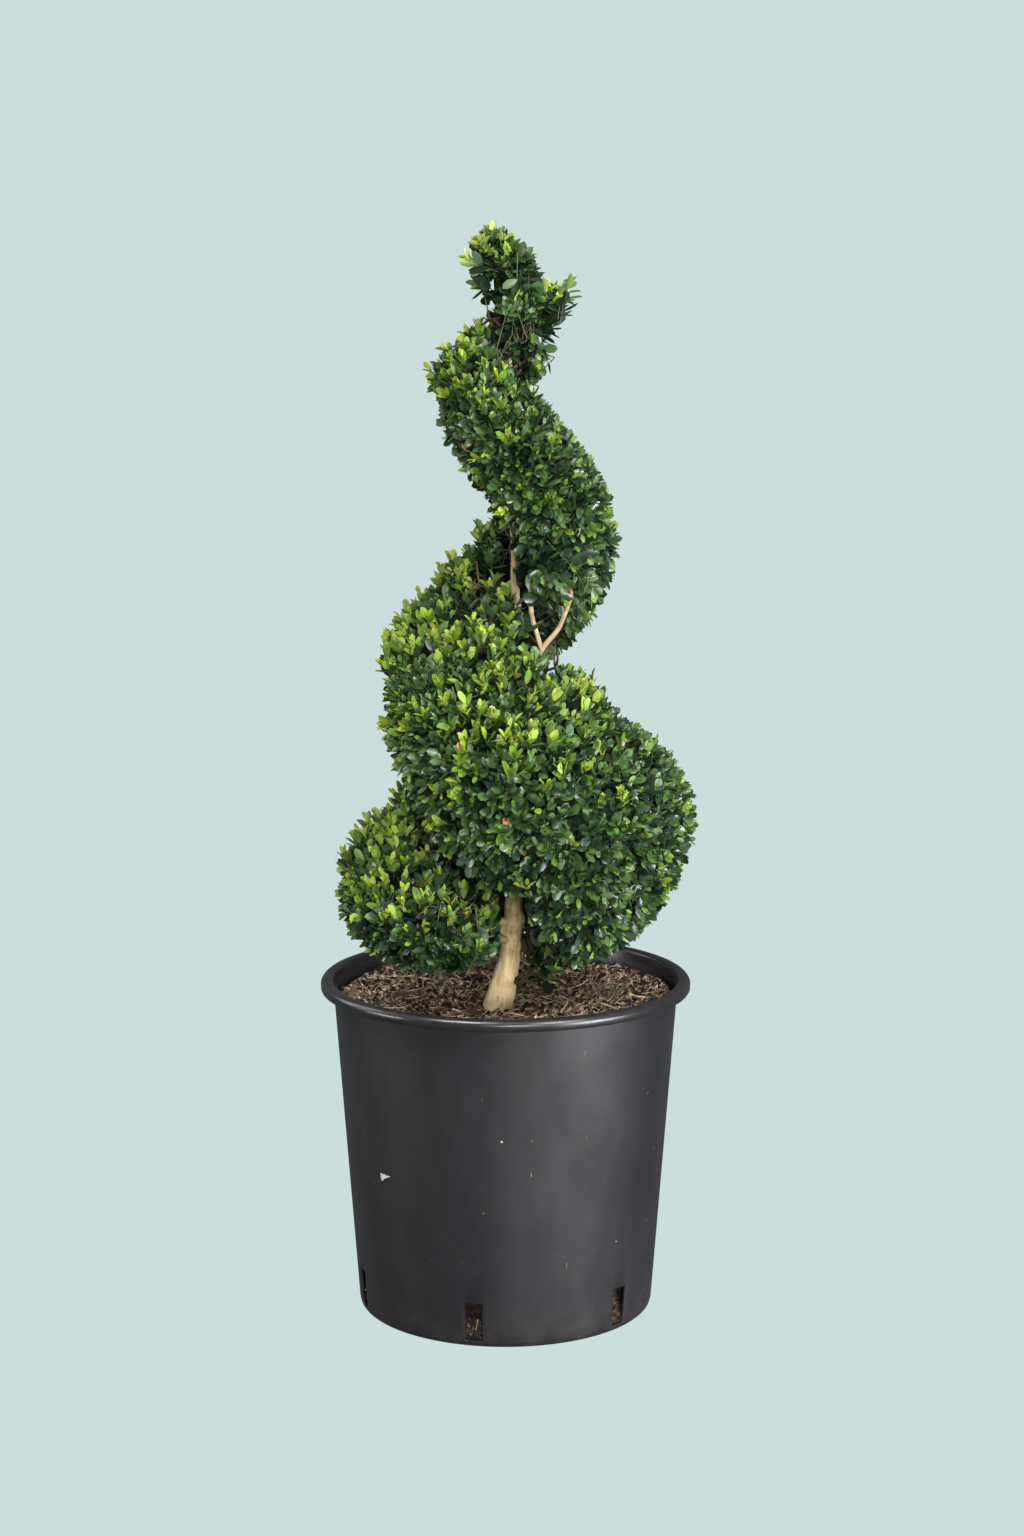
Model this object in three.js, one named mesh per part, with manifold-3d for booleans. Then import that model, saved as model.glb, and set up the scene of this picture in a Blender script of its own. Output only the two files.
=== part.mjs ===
// A clipped box spiral, growing in a 30-litre nursery container.
// Millimetres, +Z up. The origin is the centre of the container's flat underside, and -Y is the front.
//
// One upright stem stands in a root ball of compost. The foliage is a single band, clipped into a
// left-handed screw that climbs round the stem and closes up towards the tip. The band is built as a row of
// separate masses, each carried by a short stem of its own, with a groove left open between the turns.
import * as THREE from "three";
import { mergeVertices } from "three/addons/utils/BufferGeometryUtils.js";
import Module from "manifold-3d";

const wasm = await Module();
wasm.setup();

// ---- driving dimensions -------------------------------------------------------------------------------

const CLEAR = 0.35; // the gap that touching pieces keep

const CONTAINER = {
  height: 364,
  rimRadius: 200,
  lipHeight: 12, // how far the turned-down rim hangs
  lipWall: 4,
  bodyTopRadius: 187,
  footRadius: 160,
  wall: 3,
  floor: 4,
  facets: 48,
};
const DRAIN = { count: 6, width: 19, sill: 7, head: 49, firstAngle: -102 };

const SOIL_LEVEL = 327;
const SOIL = { facets: 32, roughness: 6 };

const STEM_TIP = 1108;
const STEM = { foot: 12, tip: 1.8, taper: 1.3, flare: 6.5, flareHeight: 34, sides: 10, rings: 22 };
// Where the stem's centre line passes: height, then how far it leans right and back.
const STEM_LEAN = [
  [SOIL_LEVEL, -6, -4],
  [392, 8, -4],
  [455, 7, 0],
  [620, 11, 3],
  [790, 10, 0],
  [980, 5, 2],
  [STEM_TIP, 4, 0],
];
const PRUNED_STUB = { height: 418, radius: 6, length: 15, turn: 195, rise: 0.5 };

// The forked bough that shows in the groove at the front: it leaves the stem, climbs out and splits.
const FORK = {
  leaves: 640,
  crotch: [38, -45, 724],
  leftTip: [25, -36, 797],
  rightTip: [68, -50, 779],
  radius: 4.2,
  crotchRadius: 3.2,
  tipRadius: 2.2,
};

const SPIRAL = {
  top: 1168,
  rise: 1060, // from the height where the groove would start to the tip
  halfTurns: 8,
  closing: 1.91, // how fast the turns close up towards the tip
  bottom: 378, // the lowest foliage, clipped level over the compost
  start: -0.55, // the half turn at which the band begins, beside the stem at the front
  startLift: 50, // how much higher its first end hangs
  radius: 203, // of the clipped cone at its widest
  widest: 535,
  apex: 1250, // where the cone would close; the tip is clipped blunt below it
  slenderness: 0.71,
  lowGroove: 0.58, // share of the cone's radius that the groove leaves, low down
  highGroove: 0.48, // and from the third half turn up
  gap: 4, // half of the open gap between the turns, on a wide turn
  open: 0.16, // share of a turn's height that stays open above it, at the fork
  openAbove: 0.05, // and above the second turn
};
// How the section bulges, 1 being even: low turns bulge in the middle and upper ones high up, and the
// plant bulges lower at the right than at the left.
const BULGE = { first: 1.25, growth: 0.18, most: 2.9, lower: 0.2 };
const FULLNESS = { first: 0.48, growth: 0.025, above: 0.3 };
// The second turn hangs lower at the right, and its front is clipped lower above, so that the fork shows.
const SAG = { turns: 1.09, spread: 0.35, depth: 62 };
const HOLLOW = { turns: 1.8, spread: 0.45, depth: 52 };

const CORE = { inner: 3, rings: 8, step: 0.14, sink: 0.09, end: 0.4 };
const MASS_ENDS = [SPIRAL.start, 0.05, 0.6, 1.1, 1.65, 2.2, 2.8, 3.45, 4.1, 4.8, 5.85];
const FORKED_MASS = 6; // the mass that the fork carries, counted from 0

// The knob at the top, over the stem's tip. The band stops under a plane that is higher at the right.
const KNOB = { floor: 1112, tilt: 20, height: 1134, coreRadius: 29, coreRise: 25, radius: 47 };

// A few sprigs that shoot from the foot of the trunk, at the right, under the clipped foliage.
const SPRIGS = { height: 352, turn: -34, reach: 44, climb: 22, count: 3, low: 338, high: 404, spread: 0.62 };

const LEAF = {
  length: 27,
  width: 17,
  thickness: 1.8,
  zone: 25, // depth of the leafy shell outside the core
  sink: 0.9, // how far past its twig's centre line a leaf's root is sunk
  // The leaves of a spray: how far each swings off the twig, at what turn round it, how far below its tip.
  places: [
    [0, 0, 0.8],
    [1.1, 0, 2.6],
    [1.1, Math.PI, 4.2],
    [1.1, Math.PI / 2, 5.8],
    [1.1, -Math.PI / 2, 7.4],
  ],
};
const SPRAY = { spacing: 97, twigRadius: 2.4, sink: 8, leastLeaves: 3 };

// ---- seeded random numbers ----------------------------------------------------------------------------

function seeded(seed) {
  let state = seed >>> 0;
  return (low = 0, high = 1) => {
    state = (state + 0x6d2b79f5) >>> 0;
    let t = state;
    t = Math.imul(t ^ (t >>> 15), t | 1);
    t ^= t + Math.imul(t ^ (t >>> 7), t | 61);
    return low + (high - low) * (((t ^ (t >>> 14)) >>> 0) / 4294967296);
  };
}

// ---- solids -------------------------------------------------------------------------------------------

function solidOf(geometry) {
  const bare = new THREE.BufferGeometry().setAttribute("position", geometry.getAttribute("position"));
  bare.setIndex(geometry.index);
  const merged = mergeVertices(bare, 1e-3);
  const index = merged.index.array;
  const faces = [];
  for (let i = 0; i < index.length; i += 3) {
    const [a, b, c] = [index[i], index[i + 1], index[i + 2]];
    if (a !== b && b !== c && c !== a) faces.push(a, b, c);
  }
  return new wasm.Manifold(
    new wasm.Mesh({
      numProp: 3,
      vertProperties: new Float32Array(merged.attributes.position.array),
      triVerts: new Uint32Array(faces),
    }),
  );
}

function geometryOf(solid) {
  const mesh = solid.getMesh();
  return new THREE.BufferGeometry()
    .setAttribute("position", new THREE.BufferAttribute(new Float32Array(mesh.vertProperties), 3))
    .setIndex(new THREE.BufferAttribute(new Uint32Array(mesh.triVerts), 1));
}

const cutClear = (solid, limbs) => limbs.reduce((left, limbSolid) => left.subtract(limbSolid), solid);
const largest = (solid) => solid.decompose().sort((one, other) => other.volume() - one.volume())[0];

// Fuses the parts of a node, cuts them clear of the limbs and drops loose scraps and slivers.
const joined = (parts, limbs) => largest(cutClear(wasm.Manifold.union(parts), limbs)).simplify(0.03);

// Moves every vertex of a geometry to where place(x, y, z) says.
function bent(geometry, place) {
  const at = geometry.getAttribute("position");
  for (let i = 0; i < at.count; i++) {
    const p = place(at.getX(i), at.getY(i), at.getZ(i));
    at.setXYZ(i, p.x, p.y, p.z);
  }
  return geometry;
}

// A straight tapering limb from one point to another.
function rod(from, to, radiusFrom, radiusTo, sides) {
  const along = to.clone().sub(from);
  const geometry = new THREE.CylinderGeometry(radiusTo, radiusFrom, along.length(), sides);
  geometry.translate(0, along.length() / 2, 0);
  geometry.applyQuaternion(
    new THREE.Quaternion().setFromUnitVectors(new THREE.Vector3(0, 1, 0), along.normalize()),
  );
  return geometry.translate(from.x, from.y, from.z);
}

// A tapering limb along a curve: a cylinder bent to it.
function limb(points, radiusFrom, radiusTo, sides, steps) {
  const curve = new THREE.CatmullRomCurve3(points);
  const aside = new THREE.Vector3(0, 1, 0);
  return bent(new THREE.CylinderGeometry(1, 1, 1, sides, steps), (x, y, z) => {
    const t = THREE.MathUtils.clamp(y + 0.5, 0, 1);
    const along = curve.getTangentAt(t);
    const right = aside.clone().cross(along).normalize();
    const front = along.clone().cross(right).normalize();
    const radius = THREE.MathUtils.lerp(radiusFrom, radiusTo, t);
    return curve.getPointAt(t).addScaledVector(right, x * radius).addScaledVector(front, -z * radius);
  });
}

// ---- the stem -----------------------------------------------------------------------------------------

const stemLine = new THREE.CatmullRomCurve3(
  STEM_LEAN.map(([height, right, back]) => new THREE.Vector3(right, back, height)),
);
const stemPoints = stemLine.getPoints(240);

// The stem's centre at a height; below its foot and above its tip, straight down or up.
function stemAt(height) {
  const above = stemPoints.findIndex((p) => p.z >= height);
  if (above < 0) return stemPoints.at(-1).clone().setZ(height);
  if (above === 0) return stemPoints[0].clone().setZ(height);
  const [a, b] = [stemPoints[above - 1], stemPoints[above]];
  return a.clone().lerp(b, (height - a.z) / (b.z - a.z));
}

function stemRadius(height) {
  const share = THREE.MathUtils.clamp((height - SOIL_LEVEL) / (STEM_TIP - SOIL_LEVEL), 0, 1);
  const flare = STEM.flare * Math.exp(-(height - SOIL_LEVEL) / STEM.flareHeight);
  return STEM.tip + (STEM.foot - STEM.tip) * (1 - share) ** STEM.taper + flare;
}

// The trunk from its flat cut foot to its tip, with three root swellings and a pruned stub. Grown is how
// much stouter it is made, for cutting others clear of it.
function trunk(grown) {
  const foot = SOIL_LEVEL + CLEAR;
  const geometry = bent(new THREE.CylinderGeometry(1, 1, 1, STEM.sides, STEM.rings), (x, y, z) => {
    const height = foot + (y + 0.5) ** 1.35 * (STEM_TIP - foot);
    const turn = Math.atan2(-z, x);
    const swelling = 0.13 * Math.exp(-(height - SOIL_LEVEL) / STEM.flareHeight) * Math.cos(3 * turn - 0.6);
    const radius = Math.hypot(x, z) * (stemRadius(height) * (1 + swelling) + grown);
    const raised = y > 0.4999 ? grown : 0;
    return stemAt(height).add(new THREE.Vector3(radius * Math.cos(turn), radius * Math.sin(turn), raised));
  });
  const heart = stemAt(PRUNED_STUB.height);
  const turn = THREE.MathUtils.degToRad(PRUNED_STUB.turn);
  const way = new THREE.Vector3(Math.cos(turn), Math.sin(turn), PRUNED_STUB.rise);
  const end = heart.clone().addScaledVector(way, PRUNED_STUB.length + grown);
  const stub = rod(heart, end, PRUNED_STUB.radius * 1.25 + grown, PRUNED_STUB.radius + grown, 8);
  return solidOf(geometry).add(solidOf(stub));
}

// ---- the spiral's rule --------------------------------------------------------------------------------

// Half turns are counted up the screw: 0 is at the left, 1 at the right past the back, 2 at the left again.
const angleOf = (turns) => -Math.PI * (1 + turns);

// Height of the groove under the band.
function grooveHeight(turns) {
  const left = THREE.MathUtils.clamp(1 - turns / SPIRAL.halfTurns, 0, 2);
  const sag = SAG.depth * Math.exp(-(((turns - SAG.turns) / SAG.spread) ** 2));
  return SPIRAL.top - SPIRAL.rise * left ** SPIRAL.closing - sag;
}

// How much of the cone's radius a groove leaves. The lowest turns lie close upon each other.
function grooveShare(turns) {
  const low = THREE.MathUtils.smoothstep(3.2 - turns, 0, 1.2);
  return THREE.MathUtils.lerp(SPIRAL.highGroove, SPIRAL.lowGroove, low);
}

function coneRadius(height) {
  const share = THREE.MathUtils.clamp((height - SPIRAL.widest) / (SPIRAL.apex - SPIRAL.widest), 0, 1);
  return SPIRAL.radius * (1 - share) ** SPIRAL.slenderness;
}

// Height at which the knob's own space begins, for a distance right of the stem's tip.
const knobFloor = (right) => KNOB.floor + (KNOB.tilt * right) / KNOB.coreRadius;

// Lower and upper limit of the band at a turn, with the groove's gap taken off.
function bandLimits(turns) {
  const lift = SPIRAL.startLift * THREE.MathUtils.smoothstep(-turns, 0.3, 0.6);
  const hollow = HOLLOW.depth * Math.exp(-(((turns - HOLLOW.turns) / HOLLOW.spread) ** 2));
  const low = Math.max(grooveHeight(turns), SPIRAL.bottom + lift);
  const underKnob = knobFloor(KNOB.coreRadius * Math.cos(angleOf(turns)));
  const high = Math.min(grooveHeight(turns + 2) - hollow, underKnob);
  const gap = Math.min(SPIRAL.gap, 0.06 * (high - low));
  const share = THREE.MathUtils.lerp(SPIRAL.open, SPIRAL.openAbove, THREE.MathUtils.smoothstep(turns, 2.2, 3));
  const open = share * (high - low) * THREE.MathUtils.smoothstep(turns, 0.9, 1.5);
  return [low + gap, high - gap - open];
}

// How far the clipped surface stands from the stem's centre, for a share up the band from 0 to 1. The lower
// turns are widest low down and slope away above; the upper ones bulge higher up.
function clippedRadius(turns, share) {
  const [low, high] = bandLimits(turns);
  const lower = BULGE.lower * Math.cos(angleOf(turns));
  const bulge = Math.min(BULGE.first + BULGE.growth * (turns - 1), BULGE.most) - lower;
  const along = THREE.MathUtils.clamp(share, 0, 1) ** bulge;
  const fullness = FULLNESS.first + FULLNESS.growth * turns + (along > 0.5 ? FULLNESS.above : 0);
  const lobe = Math.abs(Math.sin(Math.PI * along)) ** fullness;
  const opening = THREE.MathUtils.clamp((turns - SPIRAL.start) / 0.5, 0, 1);
  const rounded = 0.5 + 0.5 * Math.sqrt(1 - (1 - opening) ** 2);
  const cone = coneRadius(low + share * (high - low));
  const groove = THREE.MathUtils.lerp(grooveShare(turns), grooveShare(turns + 2), share);
  return cone * (groove + (1 - groove) * lobe) * rounded;
}

// A point of the band at a distance from the stem's centre line.
function bandPoint(turns, share, radius) {
  const [low, high] = bandLimits(turns);
  const height = low + share * (high - low);
  const angle = angleOf(turns);
  return stemAt(height).add(new THREE.Vector3(radius * Math.cos(angle), radius * Math.sin(angle), 0));
}
const skinPoint = (turns, share) => bandPoint(turns, share, clippedRadius(turns, share));

function coreRadius(turns, share) {
  const radius = clippedRadius(turns, share);
  const [low, high] = bandLimits(turns);
  const inner = stemRadius(low + share * (high - low)) + CORE.inner;
  return Math.max(radius - LEAF.zone, inner + 0.6 * (radius - inner), inner + 3);
}

// Where a point lies in the band: its half turn, its share up the band and its distance from the stem.
function placeInBand(point) {
  const centre = stemAt(point.z);
  const [x, y] = [point.x - centre.x, point.y - centre.y];
  let turns = -Math.atan2(y, x) / Math.PI - 1;
  while (turns < SPIRAL.start) turns += 2;
  const overKnobFloor = point.z > knobFloor(x);
  while (!overKnobFloor && turns + 2 < MASS_ENDS.at(-1) && grooveHeight(turns + 2) < point.z) turns += 2;
  const [low, high] = bandLimits(turns);
  return { turns, share: (point.z - low) / (high - low), radius: Math.hypot(x, y), overKnobFloor };
}

// The way the clipped surface faces.
function outwards(turns, share) {
  const up = skinPoint(turns, Math.min(share + 0.04, 0.98)).sub(skinPoint(turns, Math.max(share - 0.04, 0.02)));
  const along = skinPoint(turns + 0.02, share).sub(skinPoint(turns - 0.02, share));
  return up.cross(along).normalize();
}

// Lengths up the band's outer face, and the share that lies at a part of the whole.
function faceLengths(turns) {
  const lengths = [0];
  for (let i = 1; i <= 24; i++) {
    lengths.push(lengths.at(-1) + skinPoint(turns, i / 24).distanceTo(skinPoint(turns, (i - 1) / 24)));
  }
  return lengths;
}
function shareAt(lengths, part) {
  const wanted = part * lengths.at(-1);
  const i = Math.max(1, lengths.findIndex((length) => length >= wanted));
  return (i - 1 + (wanted - lengths[i - 1]) / (lengths[i] - lengths[i - 1])) / (lengths.length - 1);
}

// ---- foliage ------------------------------------------------------------------------------------------

// A leaf is a long thin eight-faced blade. Its root lies at the origin, it points along +X and faces +Z.
function leafBlade(scale) {
  const blade = new THREE.OctahedronGeometry(1);
  blade.scale((LEAF.length / 2) * scale, (LEAF.width / 2) * scale, LEAF.thickness / 2);
  return blade.translate((LEAF.length / 2) * scale, 0, 0);
}

function corners(geometry) {
  const at = geometry.getAttribute("position");
  return Array.from({ length: at.count }, (_, i) => new THREE.Vector3().fromBufferAttribute(at, i));
}

// Turns +X to the first direction and +Z as near to the second as it can.
function facing(first, second) {
  const x = first.clone().normalize();
  const y = second.clone().cross(x).normalize();
  return new THREE.Matrix4().makeBasis(x, y, x.clone().cross(y));
}

// One spray: a twig that stands out of the core, with a leaf at its end and four round it below.
function spray(root, outward, depth, random, fits, limbs) {
  const scale = THREE.MathUtils.clamp(depth / LEAF.zone, 0.45, 1);
  const length = Math.max(depth - 0.86 * LEAF.length * scale, 11 * scale);
  const free = (geometry) => {
    const solid = solidOf(geometry);
    return corners(geometry).every(fits) && limbs.every((limbSolid) => solid.intersect(limbSolid).isEmpty());
  };
  for (let attempt = 0; attempt < 7; attempt++) {
    const leaning = new THREE.Vector3(random(-0.3, 0.3), random(-0.3, 0.3), random(0, 0.5));
    const direction = outward.clone().addScaledVector(leaning, 1 - 0.1 * attempt).normalize();
    const tip = root.clone().addScaledVector(direction, length * (1 - 0.06 * attempt));
    const foot = root.clone().addScaledVector(direction, -SPRAY.sink);
    const twig = rod(foot, tip, SPRAY.twigRadius * 1.2, SPRAY.twigRadius, 3);
    if (!free(twig)) continue;
    const anyWay = new THREE.Vector3(random(-1, 1), random(-1, 1), random(-1, 1));
    const side = direction.clone().cross(anyWay).normalize();
    const blades = [];
    for (const [swing, round, back] of LEAF.places) {
      for (let turn = 0; turn < 5; turn++) {
        const angle = swing * random(0.75, 1.15) + random(-0.15, 0.15);
        const aside = side.clone().applyAxisAngle(direction, round + random(-0.3, 0.3));
        const way = direction.clone().multiplyScalar(Math.cos(angle)).addScaledVector(aside, Math.sin(angle));
        const face = direction.clone().cross(aside).multiplyScalar(random(-0.9, 0.9)).add(outward);
        const blade = leafBlade(scale * (1 - 0.08 * turn)).applyMatrix4(facing(way, face));
        const start = tip.clone().addScaledVector(direction, -back).addScaledVector(way, -LEAF.sink);
        blade.translate(start.x, start.y, start.z);
        if (!free(blade)) continue;
        blades.push(solidOf(blade));
        break;
      }
    }
    const enough = attempt > 3 ? 1 : SPRAY.leastLeaves;
    if (blades.length >= enough) return [solidOf(twig), ...blades];
  }
  return [];
}

// The woody heart of a mass between two half turns, in the outline of the band's own section.
function core(from, to, lengths) {
  const steps = Math.max(2, Math.round((to - from) / CORE.step));
  const section = CORE.rings + 2;
  const low = CORE.sink;
  const high = 1 - CORE.sink;
  // Slots 0 to rings - 1 run up the outer face and the last two run down beside the stem.
  const slotPoint = (turns, slot) => {
    if (slot >= CORE.rings) {
      const share = slot === CORE.rings ? high - 0.12 : low + 0.12;
      const [bottom, top] = bandLimits(turns);
      return bandPoint(turns, share, stemRadius(bottom + share * (top - bottom)) + CORE.inner);
    }
    const share = THREE.MathUtils.clamp(shareAt(lengths, 0.02 + (0.96 * slot) / (CORE.rings - 1)), low, high);
    const even = low + ((high - low) * slot) / (CORE.rings - 1);
    const mixed = 0.5 * share + 0.5 * even;
    return bandPoint(turns, mixed, coreRadius(turns, mixed));
  };
  const geometry = bent(new THREE.CylinderGeometry(1, 1, 1, section, steps), (x, y, z) => {
    const along = y + 0.5;
    const turns = from + (to - from) * along;
    const angle = angleOf(turns);
    const end = along < 1e-6 ? -CORE.end : along > 1 - 1e-6 ? CORE.end : 0;
    const back = new THREE.Vector3(-Math.sin(angle), Math.cos(angle), 0).multiplyScalar(end);
    if (Math.hypot(x, z) < 1e-6) {
      return slotPoint(turns, CORE.rings >> 1).lerp(slotPoint(turns, CORE.rings), 0.5).add(back);
    }
    const slot = Math.round((Math.atan2(x, z) / (2 * Math.PI) + 1) * section) % section;
    return slotPoint(turns, slot).add(back);
  });
  return solidOf(geometry);
}

// The clipped mass between two half turns: its core, the short stem that carries it, and its sprays.
function foliageMass(index, from, to, limbs, carriedBy = []) {
  const random = seeded(103 + 17 * index);
  const middle = (from + to) / 2;
  const lengths = faceLengths(middle);
  const parts = [core(from, to, lengths)];
  for (const [start, end, radius] of [stemOf(middle), ...carriedBy]) {
    parts.push(solidOf(rod(start, end, radius, 0.7 * radius, 6)));
  }

  const fits = (point) => {
    const { turns, share, radius, overKnobFloor } = placeInBand(point);
    const margin = 1 / Math.max(Math.PI * radius, 1);
    return (
      !overKnobFloor &&
      turns > from + margin &&
      turns < to - margin &&
      share > 0 &&
      share < 1 &&
      radius < clippedRadius(turns, share) + 3 &&
      radius > stemRadius(point.z) + 2
    );
  };
  const spacing = SPRAY.spacing * (0.45 + (0.55 * clippedRadius(middle, 0.5)) / SPIRAL.radius);
  const rows = Math.max(3, Math.round(lengths.at(-1) / spacing));
  for (let row = 0; row < rows; row++) {
    const share = shareAt(lengths, (row + 0.5) / rows);
    const girth = clippedRadius(middle, share) * Math.PI * (to - from);
    const columns = Math.max(1, Math.round(girth / spacing));
    for (let column = 0; column < columns; column++) {
      const shift = random(-0.14, 0.14) + (row % 2 ? 0.18 : -0.18);
      const turns = from + ((to - from) * (column + 0.5 + shift)) / columns;
      const up = THREE.MathUtils.clamp(share + random(-0.02, 0.02), CORE.sink + 0.02, 0.98 - CORE.sink);
      const depth = clippedRadius(turns, up) - coreRadius(turns, up);
      const root = bandPoint(turns, up, coreRadius(turns, up) - 1);
      parts.push(...spray(root, outwards(turns, up), depth, random, fits, limbs));
    }
  }
  return joined(parts, limbs);
}

// The short stem of a mass, into its core. It starts inside the trunk, where it is cut clear.
function stemOf(turns) {
  const end = bandPoint(turns, 0.52, 0.6 * coreRadius(turns, 0.52));
  const height = end.z - 0.4 * Math.hypot(end.x - stemAt(end.z).x, end.y - stemAt(end.z).y);
  return [stemAt(height), end, 0.4 * stemRadius(height) + 0.4];
}

// The stems of the mass over the fork go on from the tips of the bough and its arm into the core.
function stemsFromFork(turns) {
  return [FORK.leftTip, FORK.rightTip].map((place) => {
    const tip = new THREE.Vector3(...place);
    const end = bandPoint(turns, 0.4, 0.7 * coreRadius(turns, 0.4));
    return [tip.clone().addScaledVector(end.clone().sub(tip).normalize(), CLEAR), end, FORK.tipRadius];
  });
}

// The knob that closes the spiral: its own small core on a stem that goes on from the trunk's tip.
function knob(limbs) {
  const random = seeded(611);
  const tip = stemAt(STEM_TIP);
  const heart = new THREE.Vector3(tip.x, tip.y, KNOB.height);
  const ball = new THREE.SphereGeometry(1, 10, 7);
  ball.rotateX(Math.PI / 2);
  ball.scale(KNOB.coreRadius, KNOB.coreRadius, KNOB.coreRise).translate(heart.x, heart.y, heart.z);
  const slope = KNOB.tilt / KNOB.coreRadius;
  const upright = Math.hypot(slope, 1);
  const floor = (KNOB.floor + 1.5 - slope * heart.x) / upright;
  const cut = solidOf(ball).trimByPlane([-slope / upright, 0, 1 / upright], floor);
  const parts = [cut, solidOf(rod(tip.clone().setZ(STEM_TIP + CLEAR), heart, 1.8, 1.6, 6))];
  const fits = (point) =>
    point.z > knobFloor(point.x - heart.x) + 1.5 &&
    point.z < SPIRAL.top &&
    Math.hypot(point.x - heart.x, point.y - heart.y) < KNOB.radius;
  for (const [rise, count] of [[0, 5], [1, 3]]) {
    for (let i = 0; i < count; i++) {
      const turn = (2 * Math.PI * (i + random(0, 0.4))) / count + rise;
      const outward = new THREE.Vector3(Math.cos(turn), Math.sin(turn), rise).normalize();
      const root = outward.clone().multiply(new THREE.Vector3(KNOB.coreRadius, KNOB.coreRadius, KNOB.coreRise));
      parts.push(...spray(root.multiplyScalar(0.93).add(heart), outward, 16, random, fits, limbs));
    }
  }
  return joined(parts, limbs);
}

// The unclipped sprigs at the foot: one stem, with sprays along it and no core.
function lowSprigs(limbs) {
  const random = seeded(907);
  const turn = THREE.MathUtils.degToRad(SPRIGS.turn);
  const out = new THREE.Vector3(Math.cos(turn), Math.sin(turn), 0);
  const start = stemAt(SPRIGS.height);
  const end = start.clone().addScaledVector(out, SPRIGS.reach + stemRadius(SPRIGS.height));
  end.z += SPRIGS.climb;
  const parts = [solidOf(rod(start, end, 2.6, 1.8, 6))];
  const fits = (point) => {
    const centre = stemAt(point.z);
    const way = Math.atan2(point.y - centre.y, point.x - centre.x);
    return (
      point.z > SPRIGS.low &&
      point.z < SPRIGS.high &&
      Math.abs(way - turn) < SPRIGS.spread &&
      Math.hypot(point.x - centre.x, point.y - centre.y) < 92
    );
  };
  for (let i = 0; i < SPRIGS.count; i++) {
    const root = start.clone().lerp(end, (i + 2) / (SPRIGS.count + 1));
    const side = new THREE.Vector3(-out.y, out.x, 0).multiplyScalar(i % 2 ? 0.8 : -0.8);
    const outward = out.clone().add(side).add(new THREE.Vector3(0, 0, i === 1 ? -0.2 : 0.5)).normalize();
    parts.push(...spray(root, outward, 22, random, fits, limbs));
  }
  return joined(parts, limbs);
}

// ---- container and compost ----------------------------------------------------------------------------

function turned(profile, facets) {
  const geometry = new THREE.LatheGeometry(
    profile.map(([radius, height]) => new THREE.Vector2(radius, height)),
    facets,
  );
  return geometry.rotateX(Math.PI / 2);
}

function bodyRadius(height) {
  return THREE.MathUtils.lerp(CONTAINER.footRadius, CONTAINER.bodyTopRadius, height / CONTAINER.height);
}

function pot() {
  const { height, rimRadius, lipHeight, lipWall, wall, floor, footRadius, facets } = CONTAINER;
  const channelTop = height - lipWall;
  const shell = turned(
    [
      [0, 0],
      [footRadius - 7, 0],
      [footRadius - 2, 2],
      [bodyRadius(8), 8],
      [bodyRadius(channelTop), channelTop],
      [rimRadius - lipWall, channelTop],
      [rimRadius - lipWall + 0.5, height - lipHeight],
      [rimRadius - 0.5, height - lipHeight],
      [rimRadius, height - 3],
      [rimRadius - 2.5, height],
      [bodyRadius(height) - wall + 1, height],
      [bodyRadius(height) - wall, height - 2],
      [bodyRadius(floor) - wall, floor],
      [0, floor],
    ],
    facets,
  );
  let solid = solidOf(shell);
  for (let i = 0; i < DRAIN.count; i++) {
    const slot = new THREE.BoxGeometry(24, DRAIN.width, DRAIN.head - DRAIN.sill);
    slot.translate(footRadius, 0, (DRAIN.head + DRAIN.sill) / 2);
    slot.rotateZ(THREE.MathUtils.degToRad(DRAIN.firstAngle + (360 / DRAIN.count) * i));
    solid = solid.subtract(solidOf(slot));
  }
  return solid;
}

// The root ball fills the container to just under its rim. Its top is level at the trunk and uneven beyond.
function compost() {
  const { wall, floor } = CONTAINER;
  const bottom = floor + CLEAR;
  const edge = bodyRadius(SOIL_LEVEL - 4) - wall - 1;
  const ball = turned(
    [
      [0, bottom],
      [bodyRadius(bottom) - wall - 1, bottom],
      [edge, SOIL_LEVEL - 4],
      [0.72 * edge, SOIL_LEVEL],
      [0.42 * edge, SOIL_LEVEL],
      [0.2 * edge, SOIL_LEVEL],
      [0, SOIL_LEVEL],
    ],
    SOIL.facets,
  );
  return solidOf(
    bent(ball, (x, y, z) => {
      const radius = Math.hypot(x, y);
      const free = z > SOIL_LEVEL - 5 ? THREE.MathUtils.smoothstep(radius, 36, 80) : 0;
      const uneven = Math.sin(x / 31 + 1.3) * Math.cos(y / 27) + 0.5 * Math.sin((x - y) / 19);
      return new THREE.Vector3(x, y, z + free * SOIL.roughness * uneven);
    }),
  );
}

// ---- assembly -----------------------------------------------------------------------------------------

const spiralTopiary = new THREE.Group();
spiralTopiary.name = "spiral_topiary";

const looks = {
  pot: { color: 0x2e2e31, roughness: 0.42 },
  compost: { color: 0x3a2a20, roughness: 0.95 },
  bark: { color: 0xb59a6a, roughness: 0.85 },
  foliage: { color: 0x2f5a22, roughness: 0.55 },
};
function add(name, solid, look) {
  const mesh = new THREE.Mesh(geometryOf(solid), new THREE.MeshStandardMaterial({ ...look, metalness: 0 }));
  mesh.name = name;
  spiralTopiary.add(mesh);
}

const crotch = new THREE.Vector3(...FORK.crotch);

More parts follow.
